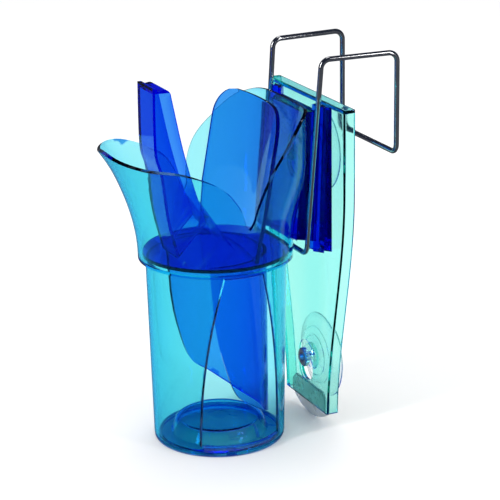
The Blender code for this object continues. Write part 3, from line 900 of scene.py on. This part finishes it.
    @staticmethod
    def grow(work: Shape, edges: list[bmesh.types.BMEdge],
             place: RingPlace) -> list[bmesh.types.BMEdge]:
        """Extrude an edge ring once.

        Args:
            work: the bmesh.
            edges: the ring that grows.
            place: gives each new vertex its place from its turn about the axis.

        Returns:
            The new ring.
        """
        grown = bmesh.ops.extrude_edge_only(work, edges=edges)["geom"]
        for vert in (item for item in grown if isinstance(item, bmesh.types.BMVert)):
            vert.co = place(math.atan2(vert.co.x, -vert.co.y))
        return [item for item in grown if isinstance(item, bmesh.types.BMEdge) and item.is_boundary]

    def window(self) -> Piece:
        """The space of the arched side window.

        Returns:
            The space, as an object to cut with.
        """
        top = self.collar_z - 2.5 * MM
        rise = top - self.window_low
        side = curve_through([(self.window_half, self.window_low),
                              (0.94 * self.window_half, self.window_low + 0.36 * rise),
                              (0.76 * self.window_half, self.window_low + 0.70 * rise),
                              (self.window_top_half, top)], 26)
        outline = side + [(-y, z) for y, z in reversed(side)]
        return self.shop.stand(prism(outline, self.window_in, self.window_out, Axis.X), "window_space")

    def hook_outline(self, height: float) -> list[Point2]:
        """Section of the back pad and its two hooked webs.

        Args:
            height: the height of the section.

        Returns:
            The section's (X, Y) points.
        """
        pad = self.back_face(height) + 0.3 * MM
        lip = self.hook_lip_y + self.rail_slope * (height - self.rail_low)
        web_out = self.hook_web_x + self.hook_web
        lip_out = web_out + self.hook_lip
        half = [(web_out, pad), (web_out, lip), (lip_out, lip), (lip_out, lip + self.hook_lip_t),
                (self.hook_web_x, lip + self.hook_lip_t), (self.hook_web_x, pad + 1.2 * MM)]
        return half + [(-x, y) for x, y in reversed(half)]

    def build_hooks(self) -> Piece:
        """Build the hooked webs behind the flat back.

        Returns:
            The webs.
        """
        low, top = self.hook_low, self.hook_top
        work = tapered(self.hook_outline(low), self.hook_outline(top), low, top)
        return round_edges(self.shop.stand(work, "holder_back_hooks"), 0.3 * MM)

    def build(self) -> None:
        """Build and dress the holder."""
        self.shop.dress(self.build_shell(), AQUA, "holder", ["holder_shell"])
        self.shop.dress(self.build_hooks(), SHADED_AQUA, "holder", ["holder_hooks"])


# ------------------------------------------------------------------ scoop


@dataclass
class Scoop:
    """The hand scoop: trough, disc, hand guard and channel handle."""

    shop: Workshop
    wall: float = 2.2 * MM
    disc_low: float = 118.0 * MM
    disc_t: float = 2.3 * MM
    disc_clear: float = 0.5 * MM
    bowl_r: float = 36.3 * MM
    bowl_mid: float = -6.5 * MM
    bowl_tip_z: float = 14.0 * MM
    bowl_turn: float = 110.0
    bowl_grid: tuple[int, int] = (64, 24)
    disc_steps: int = 96
    guard_half: float = 44.2 * MM
    guard_top: float = 208.5 * MM
    guard_low_y: float = 13.5 * MM
    guard_lean: float = 0.19
    guard_sag: float = 7.2 * MM
    guard_corner: float = 18.5 * MM
    guard_grid: tuple[int, int] = (28, 44)
    handle_half: float = 11.5 * MM
    handle_top: float = 224.0 * MM
    handle_front: float = -42.5 * MM
    handle_depth: float = 11.5 * MM

    @property
    def seat(self) -> float:
        """Height on which guard and handle stand."""
        return self.disc_low + self.disc_t + 0.3 * MM

    def edge_curve(self) -> list[Point2]:
        """The bowl's cutting edge in side view.

        Returns:
            (Y, Z) pairs from the top of the front to the tip at the back.
        """
        low = self.disc_low
        back = self.bowl_mid + self.bowl_r
        return curve_through([
            (-19.0 * MM, low - 2 * MM), (-17.0 * MM, 0.72 * low), (-12.5 * MM, 0.52 * low),
            (-4.0 * MM, 0.32 * low), (8.0 * MM, 0.24 * low), (18.0 * MM, self.bowl_tip_z + 7 * MM),
            (26.0 * MM, self.bowl_tip_z + 1.8 * MM), (back + 1 * MM, self.bowl_tip_z)], 60)

    def build_bowl(self) -> Piece:
        """Build the open trough, whose lower edge sweeps down to its tip.

        Returns:
            The trough.
        """
        curve = self.edge_curve()
        top = self.disc_low - 0.15 * MM
        work = bmesh.new()
        bmesh.ops.create_grid(work, x_segments=self.bowl_grid[0], y_segments=self.bowl_grid[1], size=0.5)
        for vert in work.verts:
            angle = math.radians(self.bowl_turn * 2 * vert.co.x)
            share = 0.5 - vert.co.y
            depth = self.bowl_mid + self.bowl_r * math.cos(angle)
            low = read_curve(curve, depth) if depth > curve[0][0] else top - 1 * MM
            vert.co = (self.bowl_r * math.sin(angle), depth, top + (low - top) * share)
        bmesh.ops.recalc_face_normals(work, faces=work.faces)
        obj = self.shop.stand(work, "scoop_trough")
        middle = obj.data.polygons[len(obj.data.polygons) // 2]
        axis = Vector((0, self.shop.axis_y + self.bowl_mid, middle.center.z))
        inward = middle.normal.dot(middle.center - axis) < 0
        add_wall(obj, self.wall, 1.0 if inward else -1.0)
        return round_edges(obj, 0.6 * MM, 2, 60)

    def build_disc(self, holder: GuardHolder) -> Piece:
        """Build the disc that rests on the ledge inside the collar.

        Args:
            holder: the holder, whose collar the disc follows.

        Returns:
            The disc.
        """
        outline = []
        for k in range(self.disc_steps):
            turn = math.tau * k / self.disc_steps
            angle = math.degrees(min(turn, math.tau - turn))
            radius = holder.radius(angle, holder.collar_z) - holder.wall - self.disc_clear
            outline.append((radius * math.sin(turn), -radius * math.cos(turn)))
        work = prism(outline, self.disc_low, self.disc_low + self.disc_t, Axis.Z)
        return round_edges(self.shop.stand(work, "scoop_disc"), 0.5 * MM, 2, 60)

    def build_guard(self) -> Piece:
        """Build the curved hand guard with its rounded top corners.

        Returns:
            The guard.
        """
        work = bmesh.new()
        bmesh.ops.create_grid(work, x_segments=self.guard_grid[0], y_segments=self.guard_grid[1], size=0.5)
        corner_z = self.guard_top - self.guard_corner
        for vert in work.verts:
            share = smooth_step(0.5 + vert.co.y) * 0.35 + (0.5 + vert.co.y) * 0.65
            height = self.seat + (self.guard_top - self.seat) * share
            half = self.guard_half - 2.6 * MM * smooth_step(1 - (height - self.seat) / (30 * MM))
            if height > corner_z:
                rise = min(1.0, (height - corner_z) / self.guard_corner)
                half -= self.guard_corner * (1 - math.sqrt(max(0.0, 1 - rise * rise)))
            x = 2 * vert.co.x * half
            middle = self.guard_low_y + self.guard_lean * (height - self.seat)
            vert.co = (x, middle - self.guard_sag * (x / self.guard_half) ** 2, height)
        bmesh.ops.recalc_face_normals(work, faces=work.faces)
        obj = self.shop.stand(work, "scoop_hand_guard")
        add_wall(obj, self.wall, 0.0)
        return round_edges(obj, 0.6 * MM, 2, 60)

    def handle_lines(self) -> tuple[list[Point2], list[Point2]]:
        """The handle's front and rear in side view.

        Returns:
            The front line and the rear line as (Y, Z) pairs, top to bottom.
        """
        low, top, face = self.seat, self.handle_top, self.handle_front
        tall = top - low
        front = curve_through([
            (face, top), (face, low + 0.64 * tall), (face + 3.2 * MM, low + 0.50 * tall),
            (face + 7.0 * MM, low + 0.23 * tall), (face + 13.0 * MM, low)], 36)
        back = face + self.handle_depth
        rear = curve_through([
            (back + 0.6 * MM, top - 8.5 * MM), (back + 6.0 * MM, low + 0.66 * tall),
            (back + 11.2 * MM, low + 0.46 * tall), (back + 16.6 * MM, low + 0.29 * tall),
            (back + 22.4 * MM, low + 0.15 * tall), (back + 38.0 * MM, low)], 40)
        return front, rear

    def build_handle(self) -> Piece:
        """Build the upright channel, open to the rear and closed on top.

        Returns:
            The handle.
        """
        front, rear = self.handle_lines()
        back = self.handle_front + self.handle_depth
        corner = arc((back - 4.6 * MM, self.handle_top - 5.6 * MM), 4.6 * MM, 84, 0, 6)
        ledge = self.handle_front + self.wall
        notch = [(ledge + 0.2 * MM, self.handle_top), (ledge + 0.7 * MM, self.handle_top - 2.0 * MM),
                 (ledge + 1.6 * MM, self.handle_top - 1.6 * MM)]
        outline = list(reversed(front)) + notch + corner + rear
        obj = self.shop.stand(prism(outline, -self.handle_half, self.handle_half, Axis.X), "scoop_grip")
        top = self.handle_top - self.wall - 1.2 * MM
        inside = [(y + self.wall, z) for y, z in front if z < top - 0.4 * MM]
        low = inside[-1][1] - 20 * MM
        out = 60 * MM
        hollow = [(front[0][0] + self.wall, top), *inside, (inside[-1][0], low), (out, low),
                  (out, top - 3.2 * MM)]
        half = self.handle_half - self.wall
        cut(obj, self.shop.stand(prism(hollow, -half, half, Axis.X), "grip_space"))
        return round_edges(obj, 0.55 * MM, 2, 55)

    def build(self, holder: GuardHolder) -> None:
        """Build and dress the scoop.

        Args:
            holder: the holder that it stands in.
        """
        self.shop.dress(self.build_bowl(), BLUE, "scoop", ["scoop_bowl"])
        self.shop.dress(self.build_disc(holder), SHADED_BLUE, "scoop")
        self.shop.dress(self.build_guard(), BLUE, "scoop", ["scoop_guard"])
        self.shop.dress(self.build_handle(), BLUE, "scoop", ["scoop_handle"])


# ------------------------------------------------------------------ bracket


@dataclass
class WallBracket:
    """Shallow tray with keyholes, two rails and a clear bumper."""

    shop: Workshop
    face: float = 60.0 * MM
    plate_t: float = 2.4 * MM
    deep: float = 8.0 * MM
    top: float = 207.5 * MM
    low: float = 9.5 * MM
    half: float = 49.8 * MM
    low_half: float = 27.8 * MM
    waist_top: float = 157.0 * MM
    waist_low: float = 4.0 * MM
    side_steps: int = 30
    seats: tuple[float, float] = (38.8 * MM, 172.7 * MM)
    stud_slot: float = 2.9 * MM
    pad_r: float = 9.2 * MM
    pad_deep: float = 0.8 * MM
    key_r: float = 7.8 * MM
    key_drop: float = 7.6 * MM
    cut_from: float = 50.0 * MM
    cut_to: float = 67.0 * MM
    rail_t: float = 2.0 * MM
    rail_foot: float = 6.4 * MM
    rail_low: float = 118.0 * MM
    rail_top: float = 206.5 * MM
    rail_slope: float = 0.040
    rail_foot_y: float = 54.4 * MM
    rail_lip_y: float = 50.0 * MM
    rail_wall_x: float = 27.8 * MM
    rail_lip_x: float = 22.6 * MM
    bumper_half: float = 22.0 * MM
    bumper_corner: float = 4.0 * MM
    bumper_r: float = 40.0 * MM
    bumper_t: float = 2.0 * MM
    bumper_top: float = 21.0 * MM

    def half_width(self, height: float) -> float:
        """Half width of the bracket at a height."""
        share = smooth_step((height - self.waist_low) / (self.waist_top - self.waist_low))
        return self.low_half + (self.half - self.low_half) * share

    def build_tray(self) -> Piece:
        """Build the plate with its flanges, open at the foot.

        Returns:
            The tray.
        """
        steps = self.side_steps
        heights = [self.low + (self.waist_top - self.low) * k / steps for k in range(steps + 1)] + [self.top]
        right = [(self.half_width(z), z) for z in heights]
        outline = right + [(-x, z) for x, z in reversed(right)]
        work = prism(outline, self.face, self.face + self.deep, Axis.Y)
        away = [face for face in work.faces if face.normal.y > 0.9 or face.normal.z < -0.9]
        bmesh.ops.delete(work, geom=away, context="FACES")
        obj = self.shop.stand(work, "bracket_tray")
        add_wall(obj, self.plate_t, -1.0)
        round_edges(obj, 0.5 * MM, 2, 55)
        for number, height in enumerate(self.seats):
            cut(obj, self.shop.stand(self.pad(height), f"pad_space_{number}"))
            cut(obj, self.shop.stand(self.keyhole(height), f"keyhole_space_{number}"))
        return obj

    def pad(self, height: float) -> Shape:
        """The shallow recess round a keyhole.

        Args:
            height: the height of the keyhole's seat.

        Returns:
            The space to cut.
        """
        outline = arc((0, height + 2 * MM), self.pad_r, 0, 180, 24)
        outline += arc((0, height - self.key_drop), self.pad_r, 180, 360, 24)
        return prism(outline, self.cut_from, self.face + self.pad_deep, Axis.Y)

    def keyhole(self, height: float) -> Shape:
        """The keyhole through the plate.

        Args:
            height: the height of its seat.

        Returns:
            The space to cut.
        """
        start = math.degrees(math.acos(self.stud_slot / self.key_r))
        outline = arc((0, height), self.stud_slot, 0, 180, 12)
        outline += arc((0, height - self.key_drop), self.key_r, 180 - start, 360 + start, 30)
        return prism(outline, self.cut_from, self.cut_to, Axis.Y)

    def rail_outline(self, side: Side, height: float) -> list[Point2]:
        """Section of one rail.

        Args:
            side: which rail.
            height: the height of the section.

        Returns:
            The section's (X, Y) points.
        """
        wall_out = self.rail_wall_x + self.rail_t
        foot_out = wall_out + self.rail_foot
        back = self.face - 0.3 * MM
        lean = self.rail_slope * (height - self.rail_low)
        front, foot = self.rail_lip_y + lean, self.rail_foot_y + lean
        outline = [(self.rail_wall_x, back), (self.rail_wall_x, front + self.rail_t),
                   (self.rail_lip_x, front + self.rail_t), (self.rail_lip_x, front), (wall_out, front),
                   (wall_out, foot), (foot_out, foot), (foot_out, back)]
        return [(side.value * x, y) for x, y in outline]

    def build_rail(self, side: Side) -> Piece:
        """Build one rail.

        Args:
            side: which rail.

        Returns:
            The rail.
        """
        low, top = self.rail_low, self.rail_top
        work = tapered(self.rail_outline(side, low), self.rail_outline(side, top), low, top)
        return round_edges(self.shop.stand(work, f"{side.name.lower()}_slide_rail"), 0.3 * MM)

    def build_bumper(self) -> Piece:
        """Build the clear tongue behind the foot of the plate.

        Returns:
            The tongue.
        """
        radius, half, top, corner = self.bumper_r, self.bumper_half, self.bumper_top, self.bumper_corner
        spread = math.degrees(math.asin(half / radius))
        outline = arc((0, radius), radius, 270 - spread, 270 + spread, 28)
        outline += [(half, top - corner), (half - corner, top), (-half + corner, top), (-half, top - corner)]
        front = self.face + self.plate_t + 0.3 * MM
        work = prism(outline, front, front + self.bumper_t, Axis.Y)
        return round_edges(self.shop.stand(work, "clear_bumper"), 0.5 * MM, 3, 40)

    def build(self) -> None:
        """Build and dress the bracket."""
        self.shop.dress(self.build_tray(), PALE, "bracket", ["bracket_plate"])
        for side in Side:
            self.shop.dress(self.build_rail(side), SHADED_AQUA, "bracket", [f"{side.name.lower()}_rail"])
        self.shop.dress(self.build_bumper(), BUFFER, "bracket", ["bracket_bumper"])


# ------------------------------------------------------------------ hanger


@dataclass
class WireHanger:
    """One closed loop of plated wire with two hooks over a bin's rim."""

    shop: Workshop
    radius: float = 1.6 * MM
    bend_r: float = 5.5 * MM
    bend_steps: int = 12
    facets: int = 6
    top: float = 234.6 * MM
    low: float = 116.8 * MM
    low_y: float = 46.0 * MM
    lean: float = 9.1 * MM
    front_half: float = 32.2 * MM
    back_half: float = 34.6 * MM
    low_half: float = 29.9 * MM
    reach: float = 48.6 * MM
    drop: float = 61.4 * MM

    def corners(self) -> list[Vector]:
        """The loop's corners before they are rounded.

        Returns:
            Eight points in order round the loop.
        """
        front, back = self.low_y + self.lean, self.low_y + self.lean + self.reach
        right = [Vector((self.low_half, self.low_y, self.low)), Vector((self.front_half, front, self.top)),
                 Vector((self.back_half, back, self.top)),
                 Vector((self.back_half, back, self.top - self.drop))]
        return right + [Vector((-p.x, p.y, p.z)) for p in reversed(right)]

    def bend(self, before: Vector, corner: Vector, after: Vector, steps: int) -> list[Vector]:
        """Round one corner of the wire.

        Args:
            before: the corner before it.
            corner: the corner itself.
            after: the corner after it.
            steps: the number of steps round the bend.

        Returns:
            The points of the bend.
        """
        one, two = (before - corner).normalized(), (after - corner).normalized()
        angle = one.angle(two)
        middle = corner + (one + two).normalized() * (self.bend_r / math.sin(angle / 2))
        start = corner + one * (self.bend_r / math.tan(angle / 2)) - middle
        end = corner + two * (self.bend_r / math.tan(angle / 2)) - middle
        axis = start.cross(end).normalized()
        sweep = start.angle(end)
        return [middle + Matrix.Rotation(sweep * k / steps, 3, axis) @ start for k in range(steps + 1)]

    def build_wire(self) -> Piece:
        """Build the wire as one round closed loop.

        Returns:
            The wire.
        """
        corners = self.corners()
        points: list[Vector] = []
        for i, corner in enumerate(corners):
            points += self.bend(corners[i - 1], corner, corners[(i + 1) % len(corners)], self.bend_steps)
        data = bpy.data.curves.new("hanger_line", "CURVE")
        data.dimensions = "3D"
        data.bevel_depth = self.radius
        data.bevel_resolution = self.facets
        line = data.splines.new("POLY")
        line.points.add(len(points) - 1)
        for slot, point in zip(line.points, points):
            slot.co = (point.x, point.y + self.shop.axis_y, point.z, 1)
        line.use_cyclic_u = True
        source = add_object("hanger_line", data)
        graph = bpy.context.evaluated_depsgraph_get()
        mesh = bpy.data.meshes.new_from_object(source.evaluated_get(graph))
        bpy.data.objects.remove(source, do_unlink=True)
        work = bmesh.new()
        work.from_mesh(mesh)
        bmesh.ops.remove_doubles(work, verts=work.verts, dist=1e-6)
        bmesh.ops.recalc_face_normals(work, faces=work.faces)
        obj = finish_mesh(work, "rim_hanger")
        obj.data.shade_smooth()
        return obj

    def build(self) -> None:
        """Build and dress the hanger."""
        self.shop.dress(self.build_wire(), WIRE, "hanger", ["hanger_wire"])


# ------------------------------------------------------------------ suction cups


@dataclass
class SuctionCup:
    """Clear cup with its threaded stud and knurled thumb nut."""

    shop: Workshop
    level: Level
    height: float
    plate_back: float = 62.4 * MM
    seat_face: float = 60.8 * MM
    dish_r: float = 26.5 * MM
    rim_y: float = 72.0 * MM
    flat: float = 2.2 * MM
    hub_r: float = 8.0 * MM
    stud_r: float = 2.4 * MM
    stud_in: float = 4.0 * MM
    stud_proud: float = 1.6 * MM
    nut_r: float = 6.0 * MM
    nut_t: float = 3.4 * MM
    teeth: int = 20
    gap: float = 0.3 * MM
    thread_deep: float = 0.28 * MM
    pitch: float = 0.8 * MM
    cup_steps: int = 72
    stud_steps: int = 32
    grooves: tuple[float, ...] = (0.0, 0.0, 0.22 * MM, 0.42 * MM, 0.42 * MM, 0.22 * MM)

    def build_cup(self) -> Piece:
        """Build the soft cup with its two raised rings.

        Returns:
            The cup.
        """
        face, rim, dish = self.plate_back + self.gap, self.rim_y, self.dish_r
        bore = self.stud_r + self.gap
        profile = [(0, face + self.stud_in + self.gap), (bore, face + self.stud_in + self.gap), (bore, face),
                   (self.hub_r - 0.8 * MM, face), (self.hub_r - 0.2 * MM, face + 0.4 * MM),
                   (self.hub_r, face + 1.2 * MM), (self.hub_r + 0.6 * MM, face + 3.2 * MM)]
        profile += [(0.47 * dish, rim - 4.45 * MM), (0.485 * dish, rim - 4.9 * MM),
                    (0.505 * dish, rim - 4.9 * MM), (0.52 * dish, rim - 4.3 * MM),
                    (0.66 * dish, rim - 3.5 * MM), (0.675 * dish, rim - 3.9 * MM),
                    (0.695 * dish, rim - 3.9 * MM), (0.71 * dish, rim - 3.2 * MM),
                    (0.86 * dish, rim - 2.1 * MM), (dish - 0.3 * MM, rim - 0.9 * MM),
                    (dish, rim - 0.4 * MM), (dish, rim)]
        profile += [(dish - self.flat, rim), (0.78 * dish, rim - 1.0 * MM), (0.5 * dish, rim - 2.0 * MM),
                    (0.2 * dish, rim - 2.35 * MM), (0, rim - 2.4 * MM)]
        work = turned(profile, self.cup_steps)
        lay_along_y(work, self.height)
        return bake_modifiers(self.shop.stand(work, f"{self.level.value}_clear_cup"), 50)

    def build_stud(self) -> Piece:
        """Build the stud with the crests of its thread.

        Returns:
            The stud.
        """
        low = self.seat_face - self.gap - self.nut_t - self.stud_proud
        high = self.plate_back + self.gap + self.stud_in
        root, pitch = self.stud_r - self.thread_deep, self.pitch
        profile = [(0, low), (root - 0.4 * MM, low), (root, low + 0.4 * MM)]
        place = low + 0.5 * MM
        while place + pitch < high - 1.5 * MM:
            profile += [(root, place), (self.stud_r, place + 0.35 * pitch),
                        (self.stud_r, place + 0.5 * pitch), (root, place + 0.85 * pitch)]
            place += pitch
        profile += [(root, high), (0, high)]
        work = turned(profile, self.stud_steps)
        lay_along_y(work, self.height)
        return bake_modifiers(self.shop.stand(work, f"{self.level.value}_stud"))

    def build_nut(self) -> Piece:
        """Build the knurled thumb nut with its chamfered faces and bore.

        Returns:
            The nut.
        """
        count = len(self.grooves) * self.teeth
        bore, edge, thick = self.stud_r + self.gap, self.nut_r, self.nut_t
        profile = [(bore, 0.4 * MM), (bore + 0.4 * MM, 0), (edge - 1.1 * MM, 0), (edge - 0.4 * MM, 0.25 * MM),
                   (edge, 0.6 * MM), (edge, thick - 0.6 * MM), (edge - 0.4 * MM, thick - 0.25 * MM),
                   (edge - 1.1 * MM, thick), (bore + 0.4 * MM, thick), (bore, thick - 0.4 * MM),
                   (bore, 0.4 * MM)]
        work = turned(profile, count)
        for vert in work.verts:
            radius = math.hypot(vert.co.x, vert.co.y)
            if radius > edge - 0.5 * MM:
                place = round(math.atan2(vert.co.y, vert.co.x) / math.tau * count) % len(self.grooves)
                shrink = (radius - self.grooves[place]) / radius
                vert.co.x *= shrink
                vert.co.y *= shrink
        lay_along_y(work, self.height)
        bmesh.ops.translate(work, verts=work.verts, vec=(0, self.seat_face - self.gap - thick, 0))
        return bake_modifiers(self.shop.stand(work, f"{self.level.value}_knurled_nut"), 30)

    def build(self) -> None:
        """Build and dress the cup, its stud and its nut."""
        name = self.level.value
        self.shop.dress(self.build_cup(), VINYL, f"{name}_cup", [f"{name}_suction_cup"])
        self.shop.dress(self.build_stud(), STEEL, f"{name}_cup", [f"{name}_cup_stud"])
        self.shop.dress(self.build_nut(), STEEL, f"{name}_nut", [f"{name}_thumb_nut"])


# ------------------------------------------------------------------ studio


@dataclass(frozen=True)
class SoftPanel:
    """A soft rectangular light."""

    name: str
    place: Triple
    size: Point2
    power: float

    def hang(self, aim: Vector) -> None:
        """Hang the panel so that it faces a point.

        Args:
            aim: the point.
        """
        data = bpy.data.lights.new(self.name, "AREA")
        data.shape = "RECTANGLE"
        data.size, data.size_y = self.size
        data.energy = self.power
        light = add_object(self.name, data)
        light.location = self.place
        light.rotation_euler = (Vector(self.place) - aim).to_track_quat("Z", "Y").to_euler()


@dataclass
class Studio:
    """Pale table, soft lights and the camera."""

    shop: Workshop
    azimuth: float = 65.10
    elevation: float = 18.25
    distance: float = 1214.97 * MM
    aim_from_axis: float = 22.6 * MM
    aim_height: float = 114.4 * MM
    roll: float = -0.86
    lens: float = 144.69
    sensor: float = 36.0
    clip: float = 0.05
    sky: Triple = (0.93, 0.93, 0.93)
    # painted shade: the sky's navy colour for rays through the plastic, and its painted dark reflection for
    # mirrored rays
    painted_surround: Triple = (0.03, 0.14, 0.95)
    painted_dark_reflection: Triple = (0.035, 0.045, 0.075)
    table_half: float = 20.0
    table_drop: float = 0.2 * MM
    clear_bounces: int = 26
    glossy_bounces: int = 8
    diffuse_bounces: int = 3
    panels: tuple[SoftPanel, ...] = (
        SoftPanel("key_panel", (0.35, -1.6, 0.9), (0.24, 1.3), 15.0),
        SoftPanel("side_panel", (1.6, 0.9, 0.7), (0.14, 1.3), 8.0),
        SoftPanel("top_panel", (-0.5, 0.3, 1.8), (0.7, 0.7), 5.0),
    )

    def build_table(self) -> None:
        """Build the table top, a hair below the object's foot."""
        work = bmesh.new()
        bmesh.ops.create_grid(work, x_segments=1, y_segments=1, size=self.table_half)
        table = finish_mesh(work, "table")
        table.location.z = -self.table_drop
        table.data.materials.append(PaleFloor().build())

    def build_sky(self) -> None:
        """Fill the studio with even white light, and paint the sky dark for mirrored rays and navy for rays
        through the plastic: a painted reflection and painted shade in place of dark cards.
        """
        world = bpy.data.worlds.new("studio")
        world.use_nodes = True
        sheet = NodeSheet(world.node_tree)
        path = sheet.add("LightPath")
        lit = sheet.maths("ADD", path.outputs["Is Camera Ray"], path.outputs["Diffuse Depth"], clamp=True)
        # painted shade and painted reflection: rays through the plastic see navy, mirrored rays see dark
        painted_surrounds = sheet.blend(path.outputs["Is Transmission Ray"], self.painted_dark_reflection, self.painted_surround)
        sheet.link(sheet.blend(lit, painted_surrounds, self.sky), world.node_tree.nodes["Background"].inputs["Color"])
        bpy.context.scene.world = world

    def build_camera(self) -> None:
        """Set up the camera."""
        turn, rise, roll = (math.radians(a) for a in (self.azimuth, self.elevation, self.roll))
        away = Vector((math.sin(turn) * math.cos(rise), -math.cos(turn) * math.cos(rise), math.sin(rise)))
        right = (-away).cross(Vector((0, 0, 1))).normalized()
        up = right.cross(-away)
        rolled_right = right * math.cos(roll) + up * math.sin(roll)
        rolled_up = up * math.cos(roll) - right * math.sin(roll)
        aim = Vector((0, self.aim_from_axis + self.shop.axis_y, self.aim_height))
        data = bpy.data.cameras.new("camera")
        data.lens = self.lens
        data.sensor_width = self.sensor
        data.clip_start = self.clip
        camera = add_object("camera", data)
        camera.matrix_world = Matrix.Translation(aim + away * self.distance) @ Matrix(
            (rolled_right, rolled_up, away)).transposed().to_4x4()
        bpy.context.scene.camera = camera

    def build(self) -> None:
        """Build the whole studio."""
        self.build_table()
        self.build_sky()
        for panel in self.panels:
            panel.hang(Vector((0, 0, self.aim_height)))
        self.build_camera()
        scene = bpy.context.scene
        scene.view_settings.view_transform = "Standard"
        scene.cycles.max_bounces = self.clear_bounces
        scene.cycles.transmission_bounces = self.clear_bounces
        scene.cycles.glossy_bounces = self.glossy_bounces
        scene.cycles.diffuse_bounces = self.diffuse_bounces


def main() -> None:
    """Build every sub-assembly in order and report the pieces."""
    logging.basicConfig(level=logging.INFO, format="%(name)s: %(message)s")
    shop = Workshop(axis_y=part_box("bracket_plate")[0].y - PLATE_FROM_AXIS)
    holder = GuardHolder(shop)
    holder.build()
    Scoop(shop).build(holder)
    bracket = WallBracket(shop)
    bracket.build()
    WireHanger(shop).build()
    for level, height in zip(Level, bracket.seats):
        SuctionCup(shop, level, height).build()
    Studio(shop).build()
    LOG.info("%d pieces in all", shop.made)


if __name__ == "__main__":
    main()
